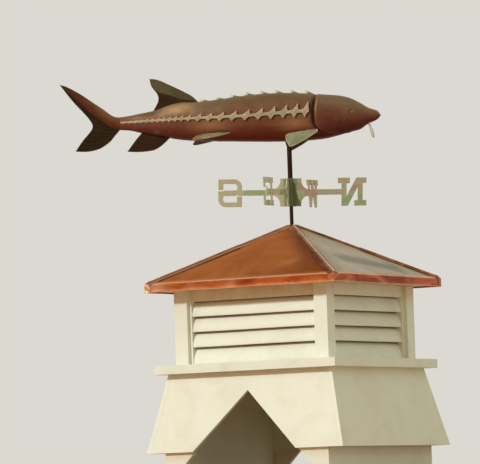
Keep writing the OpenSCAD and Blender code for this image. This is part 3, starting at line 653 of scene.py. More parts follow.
# %% Trim copper
def trim_copper(name, colors, stops, bare, bare_metal):
    finish, tree = new_finish(name)
    here, worn = place_of(tree), mark(tree, "worn")
    runs = speckle(place_of(tree, (0.8, 0.8, 2.6)), 9.0, 4.0, 0.6, 0.8)
    small = speckle(here, 90.0, 4.0, 0.6)
    color = layers(ramp(runs, list(zip(stops, colors))),
                   (spread(small, 0.56, 0.78, 0.0, 0.4), colors[0]), (worn, bare))
    metal = spread(worn, 0.0, 1.0, 0.92, bare_metal)
    return coat(finish, color, spread(runs, 0.3, 0.7, 0.42, 0.26),
                [(speckle(here, 24.0, 4.0), 1.2), (small, 0.25)], metal)


# The caps' bright colour is a near-white painted highlight with no metal to it; the drip edges' is bare
# copper and painted highlight.
CAP = trim_copper("cap_copper", ((0.20, 0.062, 0.028), (0.38, 0.130, 0.060), (0.54, 0.23, 0.12)),
                  (0.36, 0.52, 0.70), (1.0, 0.92, 0.78), 0.0)
EDGE = trim_copper("drip_copper", ((0.22, 0.026, 0.005), (0.36, 0.064, 0.013), (0.56, 0.140, 0.036)),
                   (0.31, 0.48, 0.68), (0.92, 0.54, 0.32), 0.6)
print("trim coppers", CAP.name, EDGE.name)

# %% [markdown]
# ## Hip caps
# A folded strip covers each hip: two flanges lie on the roof and a small roll stands up between them. The
# strip is swept along the hip with the slight wobble of hand work, and each is made of two lengths, so
# the lower one laps over the upper with a small step. A painted highlight runs along the top of each roll,
# a little to one side, and one cap has a faint painted highlight on one flange too.

# %% Hip caps
CAP_HALF, CAP_T, FLANGE_END, CREASE = 0.022, 0.0013, 0.0066, 0.0060
ROLL_R, ROLL_FOOT = 0.0053, 0.0015
HIP_START, HIP_SHARE, STEP = 0.0102, 0.985, 0.0008
# How far a cap stands off the roof, and how much more past its lap and at its foot; then how much it bobs
# up and swings aside along its run.
STAND_OFF, LAP_RISE, FOOT_RISE, BOB, SWING = 0.0008, 0.0013, 0.0022, 0.0005, 0.0012
# Where each cap's lap is, and the cap whose one flange carries a faint painted highlight too.
LAPS, SHINY_WING = (0.62, 0.45, 0.52, 0.36), 3


def cap_profile():
    """Outer line across the cap and the line under it: lateral place and height over the hip."""
    fall = math.tan(math.acos(1/(1 + SLOPE*SLOPE))/2)
    flange = [(q, q*fall + CAP_T) for q in np.linspace(-CAP_HALF, -FLANGE_END, 6)]
    flange.append((-CREASE, -CREASE*fall + 0.0016))
    roll = [(ROLL_R*math.cos(a), ROLL_FOOT + ROLL_R*math.sin(a))
            for a in np.linspace(math.pi*1.02, -math.pi*0.02, 13)]
    top = np.array(flange + roll + [(-q, h) for q, h in reversed(flange)])
    return top, np.stack([top[:, 0], 0.0001 - np.abs(top[:, 0])*fall], axis=1)


def hip_cap(turn, lap):
    fall = math.atan(SLOPE/math.sqrt(2))
    length = EAVE_HALF*math.sqrt(2)/math.cos(fall)
    s = np.concatenate([np.linspace(HIP_START, lap*length, 40),
                        np.linspace(lap*length + STEP, HIP_SHARE*length, 50)])[:, None]
    lapped = s > lap*length
    wide = np.minimum(np.where(lapped, 1.10, 1.0), 0.93*s/CAP_HALF)
    bob, swing = (much*np.array([[noise.noise(Vector((v*pace, turn, seed)))] for v in s.flat])
                  for much, pace, seed in ((BOB, 9, 1), (SWING, 6, 5)))
    lift = STAND_OFF + LAP_RISE*lapped + bob + FOOT_RISE*np.clip((s - 0.955*length)/0.02, 0, 1)
    shut = (0.35 + 0.65*np.clip((HIP_SHARE*length - s)/0.006, 0, 1))*np.minimum(1, wide)
    grids = []
    for q, h in (profile.T for profile in cap_profile()):
        high, aside = np.where(h > 0, h*shut, h) + lift, q*wide + swing
        out = s*math.cos(fall) + high*math.sin(fall)
        grids.append(points_at((out + aside)*math.sqrt(0.5), (aside - out)*math.sqrt(0.5),
                               POINT_Z - s*math.sin(fall) + high*math.cos(fall)))
    q, h = cap_profile()[0].T
    # A painted highlight along the top of the roll, a little to one side.
    worn = bump(np.arctan2(h - ROLL_FOOT, q) - 1.25, 0.55)*(h > 0.0022)
    if turn == SHINY_WING:
        worn = np.maximum(worn, 0.22*(q > 0.0062))
    return turned(shell(*grids, worn=worn), turn)


caps = [hip_cap(turn, lap) for turn, lap in enumerate(LAPS)]
build("rolled_hip_caps", caps, CAP, "hip_caps", 40)

# %% [markdown]
# ## Drip edges
# The bright band round the eaves is a folded strip: a lip on the roof, a face 35 mm high and a hem turned
# out at its foot, which stiffens it and sheds the water. Its section is swept from corner to corner, and
# mitred by letting each point's run grow with its distance from the middle. The lip and the hem carry a
# painted highlight, and so do three places on the front face.

# %% Drip edges
DRIP_Z, MITRE_GAP, WAVY = 0.843, 0.0005, 0.0009
# Places on the front face with a painted highlight: the place from -1 to 1 along it, how wide each is and
# how bright.
RUBBED = ((-0.88, 0.09, 0.36), (-0.50, 0.06, 0.10), (-0.08, 0.05, 0.16))


def drip_section():
    """Closed line round the strip: distance from the middle of the roof, height, and its wear and painted
    highlight.
    """
    top = EAVE_Z + 0.0022
    lip = [(-back, top + back*SLOPE + up, worn)
           for back, up, worn in ((0.014, 0.0004, 0.5), (0.008, 0, 0.35), (0.003, 0, 0.75))]
    bend = [(0.0022*math.sin(a) - 0.0022, top - 0.0018 + 0.0026*math.cos(a), worn)
            for a, worn in zip(np.linspace(0.3, math.pi/2, 5), (0.9, 1.0, 0.8, 0.3, 0.1))]
    face = [(0, top - 0.006, 0), (-0.0002, 0.866, 0), (-0.0003, 0.858, 0), (0, 0.8505, 0),
            (0.0006, DRIP_Z + 0.0050, 0.1)]
    hem = [(0.0014 + 0.0013*math.cos(a), DRIP_Z + 0.0018 + 0.0018*math.sin(a), 0.45)
           for a in np.linspace(1.2, -math.pi*0.9, 8)]
    back = [(-0.0012, DRIP_Z + 0.001, 0), (-0.0014, 0.860, 0), (-0.0014, EAVE_Z - 0.002, 0),
            (-0.014, EAVE_Z + 0.014*SLOPE + 0.0006, 0)]
    return (np.array(lip + bend + face + hem + back) + (EAVE_HALF, 0, 0)).T


def drip_strip(turn):
    out, height, worn = drip_section()
    share = np.linspace(-1, 1, 71)[:, None]
    rings = points_at(share*(out - MITRE_GAP), -out, height)
    low = np.clip((EAVE_Z - height)/0.035, 0, 1)*(1 - np.abs(share)**12)
    probe = rings*(1, 0, 0) + (0, 3.0*turn, 0)
    rings[:, :, 2] += WAVY*low*wave(probe, 5.0)
    rings[:, :, 1] += WAVY*low*wave(probe, 8.0, 4.0)
    polish = sum(much*bump(share - at, wide) for at, wide, much in RUBBED)*(turn == 0)
    return turned(tube(rings, worn=np.maximum(worn, polish)), turn)


print("drip edge, points round its section:", len(drip_section()[0]))

# %% [markdown]
# ## Corner tabs
# Short tabs of thin sheet wrap the three corners that face the weather: a flap with ragged sides on one
# face, folded over onto the roof, and a narrow return on the face beside it. They hide the open mitres.

# %% Corner tabs
TAB_T, FOLD_BACK = 0.0011, 0.0080
# The face it is on, its end of that face, its width and slant, and how worn the tab and its return are.
TABS = ((0, -1, 0.027, 0.10, 0.45, 0.3), (0, 1, 0.030, -0.12, 0.1, 0.1),
        (1, 1, 0.024, 0.10, 0.1, 0.1), (3, -1, 0.024, -0.10, 0.1, 0.1))


def corner_tab(turn, hand, wide, slant, worn):
    u, v = np.meshgrid(np.linspace(0, 1, 13), np.linspace(0, 1, 13))
    run = EAVE_HALF + 0.0012 - u*wide*(1 + 0.10*np.sin(7*v + turn) + slant*(v - 0.5))
    stand = -EAVE_HALF - 0.0016 - 0.0010*bump(v, 0.10) - 0.0004*np.sin(5*u + 9*v)
    face = points_at(hand*run, stand, DRIP_Z + 0.0006 + v*(EAVE_Z + 0.0012 - DRIP_Z))
    fold = face[-1:] + (0, 0.0030, 0.0032)
    outer = np.concatenate([face, fold, fold + (0, FOLD_BACK, FOLD_BACK*SLOPE)])
    inner = outer + (0, TAB_T, 0)
    inner[-2:] = outer[-2:] - (0, 0, TAB_T)
    return turned(shell(outer, inner, worn=worn), turn)


def tab_return(turn, hand, worn):
    back, v = 0.0035*np.arange(5), np.linspace(0, 1, 11)[:, None]
    outer = points_at(hand*(EAVE_HALF + 0.0018), -EAVE_HALF - 0.0014 + back,
                      DRIP_Z + 0.0008 + v*(EAVE_Z - DRIP_Z))
    return turned(shell(outer, outer - (hand*TAB_T, 0, 0), worn=worn), turn)


strips = [drip_strip(turn) for turn in range(4)]
tabs = [corner_tab(*tab[:5]) for tab in TABS] + [tab_return(tab[0], tab[1], tab[5]) for tab in TABS]
build("folded_drip_edges", strips + tabs, EDGE, "drip_edges", 40)

# %% [markdown]
# ## Mast and compass arms
# The arms and letters are cut from sheet that has turned a pale chalky green, with pits of darker green
# where water stands and a pink-brown ghost of the metal on the edges that rain keeps clean. The finish
# mixes those three with noise at two scales, and each arm has its own shares of them. A dark green close
# to the mast is painted shade. The mast stays almost black.

# %% Green and iron finishes
PIT, DAMP = (0.09, 0.10, 0.06), (0.13, 0.15, 0.06)
RUST = [(0.35, (0.016, 0.005, 0.002)), (0.58, (0.032, 0.010, 0.003)), (0.75, (0.075, 0.024, 0.007))]


def verdigris(name, pale, green, bare, shift=0.0):
    finish, tree = new_finish(name)
    here = place_of(tree, shift=(shift, 0, 0))
    large, small = speckle(here, 12.0, 5.0, 0.65, 0.8), speckle(here, 70.0, 5.0, 0.7)
    grit = speckle(here, 330.0, 3.0, 0.6)
    # Painted shade: a dark green close to the mast.
    near_mast = plus(from_axis(tree), spread(small, 0.3, 0.7, -0.006, 0.006))
    color = layers(ramp(large, [(0.40, green), (0.47, pale), (0.53, pale), (0.60, bare)]),
                   (spread(small, 0.58, 0.74, 0.0, 0.65), green),
                   (spread(small, 0.42, 0.28, 0.0, 0.45), bare),
                   (spread(grit, 0.62, 0.75, 0.0, 0.5), PIT),
                   (spread(near_mast, 0.036, 0.026, 0.0, 0.8), DAMP))
    return coat(finish, color, spread(small, 0.3, 0.7, 0.72, 0.52),
                [(large, 0.8), (small, 0.5), (grit, 0.12)], metal=0.12)


def iron(name):
    finish, tree = new_finish(name)
    here = place_of(tree)
    rust, scale = speckle(here, 45.0, 6.0, 0.7), speckle(here, 240.0, 4.0, 0.7)
    return coat(finish, ramp(rust, RUST), spread(scale, 0.3, 0.7, 0.50, 0.72),
                [(rust, 0.5), (scale, 0.15)], gloss=0.12)


# %% [markdown]
# The modelled rods and arms already have their true shapes, so they only get these finishes and softened
# edges.

# %% Dressing the mast and arms
# The pale film, the green and the bare metal of each arm, and a shift so that no two share a pattern.
# East and west are made paler: painted light on faces that the lamp leaves in shade.
ARMS = {"north": ((0.315, 0.265, 0.165), (0.185, 0.265, 0.115), (0.30, 0.185, 0.125), 0.0),
        "south": ((0.40, 0.36, 0.22), (0.25, 0.29, 0.135), (0.44, 0.31, 0.19), 0.7),
        "east": ((0.62, 0.58, 0.42), (0.34, 0.40, 0.22), (0.60, 0.44, 0.30), 0.3),
        "west": ((0.58, 0.52, 0.36), (0.32, 0.36, 0.19), (0.60, 0.43, 0.29), 0.1)}
for arm, look in ARMS.items():
    dress("arm_" + arm, verdigris("verdigris_" + arm, *look), 0.7)
HUB = verdigris("hub_verdigris", (0.20, 0.20, 0.085), (0.10, 0.135, 0.048), (0.22, 0.155, 0.07))
dress("compass_hub", HUB)
IRON = iron("dark_iron")
for rod in ("mast_rod", "vane_sleeve"):
    dress(rod, IRON, 0.8)
print("arms", *ARMS)

# %% [markdown]
# ## The sturgeon's body
# The body is hammered from two copper shells. Its drawing is a table of stations: how high the back, how
# low the belly and how wide the flank is at places along the fish. A smooth curve through each column
# gives a section anywhere, so the body can be swept with as many rings as it needs. All of the fish is
# made in millimetres, lying along X about its own middle, then set on the mast at its heading.

# %% Stations
VANE_Z, HEADING = 1.6, math.radians(31)
FISH = Matrix.Translation((0, 0, VANE_Z)) @ Matrix.Rotation(HEADING, 4, "Z")
# The place along the fish, the back, the belly, the half width and the height of the widest line.
STATIONS = np.array([
    (-735, 22, -33, 12, -2), (-690, 27, -37, 16, -1.5), (-640, 36, -49, 24, -0.5), (-585, 46, -63, 33, 0.5),
    (-530, 64, -73, 42, 1.5), (-470, 78, -84, 50, 3), (-390, 78, -93, 59, 3.5), (-300, 86, -97, 66, 3.5),
    (-200, 98, -101, 72, 5), (-100, 104, -105, 75, 9), (0, 104, -107, 76, 14.5), (90, 98, -106, 74, 18),
    (160, 92, -100, 69, 16), (220, 86, -87, 61, 9), (270, 74, -76, 52, 2), (315, 51, -63, 43, -4),
    (350, 29.5, -41.5, 32, -6), (380, 18, -29, 22, -6), (394, 10, -20, 15, -6),
    (402, -2, -10, 6, -6)], float)
BACK, BELLY, WIDE, SIDE = 1, 2, 3, 4
TAIL_X, SNOUT_X = STATIONS[0, 0], STATIONS[-1, 0]
print("body length, mm:", SNOUT_X - TAIL_X)


def smooth_curve(places, values, at):
    """A smooth line through values at places, read at other places."""
    at = np.asarray(at, float)
    order = np.arange(len(places))
    low, high = np.maximum(order - 1, 0), np.minimum(order + 1, len(places) - 1)
    slope = (values[high] - values[low])/(places[high] - places[low])
    i = np.clip(np.searchsorted(places, at, side="right") - 1, 0, len(places) - 2)
    step = places[i + 1] - places[i]
    t = (at - places[i])/step
    a, b, p, q = values[i], values[i + 1], slope[i]*step, slope[i + 1]*step
    return a + t*(p + t*(3*(b - a) - 2*p - q + t*(2*(a - b) + p + q)))


def body_at(x, column):
    return smooth_curve(STATIONS[:, 0], STATIONS[:, column], x)


def skin(x, angle, rise=0.0):
    """A point of the skin in millimetres at x and at an angle round the section."""
    side = body_at(x, SIDE)
    tall = np.where(np.sin(angle) >= 0, body_at(x, BACK) - side, side - body_at(x, BELLY))
    return points_at(x, (body_at(x, WIDE) + rise)*np.cos(angle), side + (tall + rise)*np.sin(angle))


# %% [markdown]
# ## Gill cover, eye and dents
# The gill cover's edge is a raised rim with a groove behind it, bent forwards above and below. Rings near
# it are bent along the same line, so the rim stays crisp. The eye lies in a shallow dish. A little slow
# noise then leaves the soft dents of hammer work.

# %% Body
GILL_X, EYE = 114.0, (279.0, 8.0)
# How far the skin stands out at distances ahead of the rim.
GILL_LINE = np.array([(-20, 0), (-14, -0.6), (-10, -4.2), (-5, -6.5), (-1.2, -6.5), (-0.2, -3.0), (0.9, 2.8),
                      (2.4, 4.0), (5, 3.8), (12, 2.8), (28, 1.6), (60, 0)], float)
# Runs of rings: where each starts and how many it has. They are closest together at the rim and the snout.
RINGS = ((TAIL_X, 259), (GILL_X - 20, 43), (GILL_X + 8, 15), (GILL_X + 60, 83), (SNOUT_X - 12, 8))
# The last rings close the snout: the size of each and how far ahead it lies.
SNOUT_RINGS = ((0.86, 0.7), (0.55, 1.4), (0.15, 1.7))
AROUND = np.linspace(0, 2*math.pi, 144, endpoint=False)
# In millimetres: how deep and wide the eye's dish is, and how high, how far out and how wide its brow is.
DISH, BROW = (2.4, 12.0), (1.1, 17.0, 5.0)
# Dents, slow and quick: how deep, how close together, and the shift of their noise.
DENTS = ((0.75, 0.013, 0.0), (0.45, 0.034, 9.0))
# The seam where the two shells meet: how high and wide it is, and where it ends.
SEAM_HIGH, SEAM_WIDE, SEAM_END = 0.9, 2.2, 330


def gill_bend(z):
    return np.where(z > 0, 0.0018*z*z, 1.25e-6*z**4)


def bend_share(x):
    return np.interp(x, [0, 90, 130, 290], [0, 1, 1, 0])


def past_gill(x, z):
    """How far ahead of the rim's bent line a place of the skin lies."""
    return x - bend_share(x)*gill_bend(z) - GILL_X


def body_grid():
    ends = [start for start, _ in RINGS[1:]] + [SNOUT_X]
    xs = np.concatenate([np.linspace(start, end, count, endpoint=False)
                         for (start, count), end in zip(RINGS, ends)] + [[SNOUT_X]])
    x = np.broadcast_to(xs[:, None], (len(xs), len(AROUND)))
    bent = x + bend_share(x)*gill_bend(skin(x, AROUND)[:, :, 2])
    rise = np.interp(x - GILL_X, GILL_LINE[:, 0], GILL_LINE[:, 1])
    points = skin(bent, AROUND, rise*np.clip(1.25 - np.abs(np.sin(AROUND))**6*0.9, 0.3, 1))
    outward = points*(0, 1, 1) - points_at(0, 0, body_at(bent, SIDE))
    outward /= np.maximum(np.linalg.norm(outward, axis=2, keepdims=True), 1e-6)
    away = np.hypot(points[:, :, 0] - EYE[0], points[:, :, 2] - EYE[1])
    dish = -DISH[0]*bump(away, DISH[1])
    brow = BROW[0]*bump(away - BROW[1], BROW[2])*(points[:, :, 2] > EYE[1] - 4)
    dents = sum(deep*wave(points, pace, shift) for deep, pace, shift in DENTS)
    seam = SEAM_HIGH*bump(points[:, :, 1], SEAM_WIDE)*(points[:, :, 0] < SEAM_END)
    narrow = np.clip(body_at(bent, WIDE)/30, 0.15, 1)
    points = points + outward*(dish + brow + (dents + seam)*narrow)[:, :, None]
    tip, middle = points[-1:], points[-1:].mean(axis=1, keepdims=True)
    snout = [middle + (tip - middle)*size + (ahead, 0, 0) for size, ahead in SNOUT_RINGS]
    return np.concatenate([points, *snout])


body = body_grid()
print("body rings", len(body))

# %% [markdown]
# ## The line of the side shields
# A sturgeon carries a row of bony shields along each flank. Each shield has a horn that leans forward and
# a point below. The upper and lower edges are drawn for one shield as shares of its length, and repeated
# along the flank with shields that shrink and crowd towards the tail. The line comes before the skin's
# copper, because a painted shadow of the strip lies on the skin just ahead of the horns and under the
# points.

# %% Line of the side shields
LARGE, SMALL = 10, 12
SHIELD_X, LARGE_RUN, SMALL_STEP = 88, 513, 24.7
HORN = np.array([(0, 0.0), (0.40, 0.0), (0.50, 0.07), (0.62, 0.22), (0.76, 0.46), (0.90, 0.78), (1.0, 1.0),
                 (1.012, 0.93), (1.03, 0.35), (1.05, 0.0)])
POINT = np.array([(0, 0.0), (0.36, 0.0), (0.47, 0.30), (0.56, 0.80), (0.63, 1.0), (0.69, 0.82), (0.80, 0.34),
                  (0.93, 0.0), (1.05, 0.0)])
SHARES = (0.05, 0.15, 0.25, 0.34, 0.40, 0.46, 0.52, 0.58, 0.61, 0.64, 0.67, 0.71, 0.78, 0.85, 0.91, 0.96,
          0.985, 1.0, 1.010, 1.018, 1.028, 1.038)


def shield_x(i):
    share, n = min(i, LARGE)/LARGE, max(i - LARGE, 0)
    return (SHIELD_X - LARGE_RUN*share + 10*math.sin(2*math.pi*share)
            - SMALL_STEP*n - 12*(1 - math.exp(-n)))


def shield_span(i):
    """A shield's rear and front end, and its size from 0 at the tail to 1 for the first."""
    front = shield_x(i)
    return shield_x(i + 1), front, (front - TAIL_X)/(SHIELD_X - TAIL_X)


def shield_line(hand):
    """Columns along the strip: the place, and how far it reaches above and below the middle of the flank."""
    columns = []
    for i in range(LARGE + SMALL - 1, -1, -1):
        rear, front, size = shield_span(i)
        horn, low, band = 4 + 32*size + (5 if i == 0 else 0), 5 + 22*size, 3.2 + 3.4*size
        for share in SHARES:
            x = rear + share*(front - rear)
            jag = 0.5*noise.noise(Vector((x*0.09, hand, 2.0)))
            columns.append((x, band + (horn - band)*np.interp(share, *HORN.T) + jag,
                            band + (low - band)*np.interp(share, *POINT.T) - jag))
    return np.array(columns).T


def under_shields(x, z):
    """How far inside the strip's outline a place on the flank is, in millimetres, or below 0 outside it."""
    places, top, down = shield_line(-1)
    high = z - body_at(x, SIDE)
    inside = np.minimum(np.interp(x, places, top) - high, np.interp(x, places, down) + high)
    return np.where((x > places[0]) & (x < places[-1] + 2), inside, -9.0)


print("side shields on each flank:", LARGE + SMALL)

# %% [markdown]
# ## The sturgeon's copper
# The back is grey brown, the flank red brown and the belly dark red, partly weathering but mostly
# painted light: a painted reflection of the sky on top and painted shade below, darkest under the head.
# How far a place is turned up or down drives that change as a mark, broken up by noise. Four places on the
# flank are brighter, and a painted highlight runs along the gill cover's rim. A painted shadow lies
# behind that rim and beside the shields.

# %% Fish copper
# Colours by how far a place faces up: painted shade low down and a painted sky reflection high up.
BY_LEVEL = [(0.02, (0.110, 0.012, 0.0045)), (0.17, (0.130, 0.019, 0.007)), (0.32, (0.175, 0.046, 0.019)),
            (0.50, (0.170, 0.060, 0.027)), (0.68, (0.190, 0.088, 0.045)), (0.86, (0.215, 0.134, 0.080)),
            (0.99, (0.255, 0.172, 0.108))]
# The brighter places and the painted highlight on the gill rim, paler higher up.
BLOOM = [(0.0, (0.37, 0.155, 0.068)), (1.0, (0.60, 0.375, 0.21))]
BROWN_FLECK, PALE_CLOUD, CHALK_RUN = (0.105, 0.048, 0.026), (0.30, 0.150, 0.085), (0.26, 0.25, 0.16)
DARK_HEAD, DIRT = (0.040, 0.008, 0.002), (0.030, 0.009, 0.003)


def fish_copper(name):
    finish, tree = new_finish(name)
    here = place_of(tree)
    xyz = split(here)
    clouds = speckle(place_of(tree, (0.6, 1, 1)), 11.0, 5.0, 0.6, 0.7)
    small, grit = speckle(here, 75.0, 5.0, 0.65), speckle(here, 420.0)
    on_head = spread(xyz["X"], 0.105, 0.150)
    level = times(mark(tree, "level"), plus(times(on_head, 0.30), 1.0))
    level = plus(level, spread(clouds, 0.25, 0.75, -0.26, 0.26))
    bloom = times(mark(tree, "bloom"), spread(clouds, 0.30, 0.60, 0.65, 1.0))
    runs = spread(speckle(place_of(tree, (1, 1, 0.25)), 46.0, 4.0), 0.60, 0.78)
    # On the head, painted shade darkens the underside further.
    duller = times(on_head, spread(level, -0.6, 0.95, 0.20, -0.02))
    color = layers(ramp(spread(level, -1.0, 1.0), BY_LEVEL),
                   (spread(small, 0.52, 0.74, 0.0, 0.40), BROWN_FLECK),
                   (spread(clouds, 0.58, 0.80, 0.0, 0.45), PALE_CLOUD),
                   (bloom, ramp(spread(xyz["Z"], -0.015, 0.035), BLOOM)),
                   (times(runs, 0.15), CHALK_RUN), (duller, DARK_HEAD), (mark(tree, "groove"), DIRT))
    return coat(finish, color, spread(small, 0.3, 0.7, 0.56, 0.40),
                [(clouds, 1.0), (small, 0.35), (grit, 0.07)], metal=0.62)


# %% [markdown]
# The marks are worked out for every point of the body at once, from its place along the fish and its
# height.

# %% Marks of the body
# Bright places on the flank: the middle, how far each reaches along and up, and how bright.
BRIGHT = ((35, -36, 75, 26, 0.95), (-335, -34, 80, 26, 1.0), (-512, 60, 52, 28, 0.85),
          (-440, 62, 44, 22, 0.55))
x, z = body[:, :, 0], body[:, :, 2]
# How far each point faces up, which drives the painted shade and the painted sky reflection.
level = np.sin(AROUND)*np.interp(x, [TAIL_X, -590], [0.75, 1.0])
bloom = sum(much*bump(x - at, wide)*bump(z - high, tall) for at, high, wide, tall, much in BRIGHT)
ahead, on_side = past_gill(x, z), np.clip(1.6 - np.abs(z - 15)/62, 0, 1)
# A painted highlight along the gill cover's rim.
bloom = np.maximum(bloom, 0.6*on_side*np.interp(ahead, [0.2, 1.6, 5, 11], [0, 1, 0.7, 0]))
# Painted shadow behind the gill cover's rim.
groove = 0.84*on_side*np.interp(ahead, [-24, -13, -1.5, 0.3], [0, 1, 1, 0])
# Painted shadow of the side shields, a little ahead of and below them.
shade = 0.95*np.clip(under_shields(x - 8, z + 5)/4 + 0.6, 0, 1)*np.clip((x + 600)/250, 0, 1)


def fish_piece(name, parts, finish, node, sharp=50):
    build(name, parts, finish, node, sharp, "vane", FISH)


fish_piece("sturgeon_body", [tube(body*MM, level=level, bloom=bloom, groove=np.maximum(groove, shade))],
           fish_copper("fish_copper"), "fish_body", 60)

# %% [markdown]
# ## Fins
# A fin is a patch stretched between four drawn lines: its root, its outer edge and the two edges beside
# them. Rays run from the root to the edge as low ribs, and the rim is rolled a little thicker, so it
# catches the light. The mesh keeps two marks for the finish: `rim`, which is 1 along the free edges, and
# `ray`, which follows the ribs.

# %% Fin patch
def trace(points, count):
    """Even steps along a smooth line through drawn points."""
    p = np.array(points, float)
    run = np.concatenate([[0], np.cumsum(np.linalg.norm(np.diff(p, axis=0), axis=1))])
    at = np.linspace(0, run[-1], count + 1)
    return np.stack([smooth_curve(run, p[:, k], at) for k in range(p.shape[1])], axis=1)


def patch(root, edge, lead, trail, nu, nv):
    """Points between four lines: root to edge as v grows, and lead (u = 0) to trail (u = 1)."""
    a, b = trace(root, nu)[None], trace(edge, nu)[None]
    c, d = trace(lead, nv)[:, None], trace(trail, nv)[:, None]
    u, v = np.linspace(0, 1, nu + 1)[None, :, None], np.linspace(0, 1, nv + 1)[:, None, None]
    corners = (1 - u)*(1 - v)*a[:, :1] + u*(1 - v)*a[:, -1:] + (1 - u)*v*b[:, :1] + u*v*b[:, -1:]
    return (1 - v)*a + v*b + (1 - u)*c + u*d - corners


# In millimetres: how wide and how thick the rolled rim is, how high the rays are, and how far and how
# closely a blade waves.
RIM_WIDE, RIM_HIGH, RAY_HIGH, BLADE_WAVE = 3.2, 0.45, 0.32, (0.8, 0.012)


def fin_solid(grid, rays, thick, to_space, bow_out, least=0.0, **marks):
    """Gives a flat patch its thickness, rays, rolled rim and bow."""
    free = np.concatenate([grid[-1], grid[:, 0], grid[:, -1]])
    gap = np.sqrt(((grid[:, :, None, :] - free[None, None])**2).sum(axis=3)).min(axis=2)
    rim = bump(gap, RIM_WIDE)
    u, v = np.meshgrid(np.linspace(0, 1, grid.shape[1]), np.linspace(0, 1, grid.shape[0]))
    rib = np.cos(2*math.pi*rays*u + 1.2*np.sin(3*u + 2*v))
    half = thick/2*(1.15 - 0.35*v) + RAY_HIGH*rib*np.clip(v*3, 0, 1)*(1 - rim) + RIM_HIGH*rim
    half = np.maximum(half, least)
    wavy = BLADE_WAVE[0]*wave(np.dstack([grid, 0*u]), BLADE_WAVE[1], 3.0)
    middle = bow_out(u, v) + wavy*np.clip(v*2, 0, 1)
    faces = [to_space(np.dstack([grid, middle + side*half]))*MM for side in (1, -1)]
    return shell(*faces, rim=rim, ray=0.5 + 0.5*rib, **marks)


# %% [markdown]
# ## Finishes of the fins
# The upright fins are thin dark sheet, olive brown, and the back fin's upper blade is paler. The paired
# fins and the shields are pale: chalky green in the middle and cream brown along the rims, where hands
# and weather have rubbed the green away. One function reads the mesh's marks for them all: `rim` and `ray`
# are rubbed, but on the back shields the rim mark is a painted highlight; one mark is how dusty a place
# is, and on the tail a painted highlight along the top of its ridge; `flesh` is bare skin like the body's,
# paler where that highlight is; and the last mark is painted shade on the paired fins' undersides.

# %% Fin finishes
# Painted shade for the paired fins' undersides.
UNDERSIDE = (0.050, 0.020, 0.008)
# The flesh's darker and paler colours; on the tail the paler one is a painted highlight along the ridge's
# top.
ROSY, RUDDY = ((0.24, 0.115, 0.055), (0.34, 0.18, 0.10)), ((0.110, 0.026, 0.009), (0.236, 0.128, 0.074))


def fin_sheet(name, base, deep, rubbed, dust, dusted, rough=0.62, gloss=0.4, flecks=95.0, flesh=ROSY):
    finish, tree = new_finish(name)
    here, tone = place_of(tree), mark(tree, "tone")
    clouds, small = speckle(here, 16.0, 5.0, 0.62, 0.6), speckle(here, flecks, 5.0, 0.7)
    grit = speckle(here, 380.0)
    dusty = times(tone, spread(small, 0.30, 0.55, 0.55, 1.0))
    edge = times(mark(tree, "rim"), spread(small, 0.60, 0.35, 0.45, 1.0))
    # Where the mark is high the flesh is paler: on the tail, a painted highlight.
    turned_up = plus(tone, spread(clouds, 0.3, 0.7, -0.2, 0.2))
    color = layers(blend(spread(clouds, 0.38, 0.60), deep, base),
                   (spread(small, 0.50, 0.66, 0.0, 0.8), deep),
                   (spread(mark(tree, "ray"), 0.3, 1.0, 0.0, 0.25), rubbed),
                   (times(dusty, dusted), dust), (edge, rubbed),
                   (spread(grit, 0.62, 0.74, 0.0, 0.5), deep),
                   (mark(tree, "flesh"), ramp(turned_up, list(zip((0.15, 0.95), flesh)))),
                   (mark(tree, "shade"), UNDERSIDE))
    return coat(finish, color, spread(small, 0.3, 0.7, rough + 0.08, rough - 0.12),
                [(clouds, 0.8), (small, 0.4), (grit, 0.10)], gloss=gloss)


DARK_FIN = fin_sheet("dark_fin_sheet", (0.032, 0.015, 0.005), (0.016, 0.007, 0.0025), (0.062, 0.036, 0.014),
                     (0.115, 0.094, 0.048), 0.9, rough=0.74, gloss=0.1, flesh=RUDDY)
GREEN_FIN = fin_sheet("green_fin_sheet", (0.250, 0.270, 0.140), (0.050, 0.085, 0.036), (0.62, 0.48, 0.30),
                      (0.46, 0.42, 0.27), 0.50, flecks=58.0)
print("fin finishes", DARK_FIN.name, GREEN_FIN.name)

# %% [markdown]
# ## Tail fin
# The back's flesh runs on into the upper lobe of the tail as a thick ridge that thins towards the tip. It
# is a line of stations with a height and a thickness, and the tail's sheet is simply made at least that
# thick near it.

# %% Tail fin
# The ridge's middle, its half height and its half thickness.
RIDGE = np.array([(-735, -5.5, 27.5, 12), (-765, 3, 26.5, 10.8), (-800, 28, 26, 9.2), (-851, 64, 23, 7.4),
                  (-914, 117, 16, 4.8), (-960, 150, 9, 3.0), (-993, 174, 4, 1.7)], float)
UPRIGHT_T, TAIL_ROOT = 2.6, -735.3
TIP, FORK = (-993, 174), (-932, -121)


def upright(points):
    """A drawing of length and height stands in the fish's middle plane."""
    return points[..., (0, 2, 1)]


def upright_fin(name, node, grid, rays, bow_out=lambda u, v: 0*u, **how):
    fin = fin_solid(grid, rays, UPRIGHT_T, upright, bow_out, **how)
    fish_piece(name, [fin], DARK_FIN, node)


def ridge_half(grid):
    best = np.zeros(grid.shape[:2])
    for a, b in zip(RIDGE[:-1], RIDGE[1:]):
        share, away = from_line(grid, a[:2], b[:2])
        high, wide = (a[k] + share*(b[k] - a[k]) for k in (2, 3))
        best = np.maximum(best, wide*np.sqrt(np.clip(1 - (away/high)**2, 0, 1)))
    return best


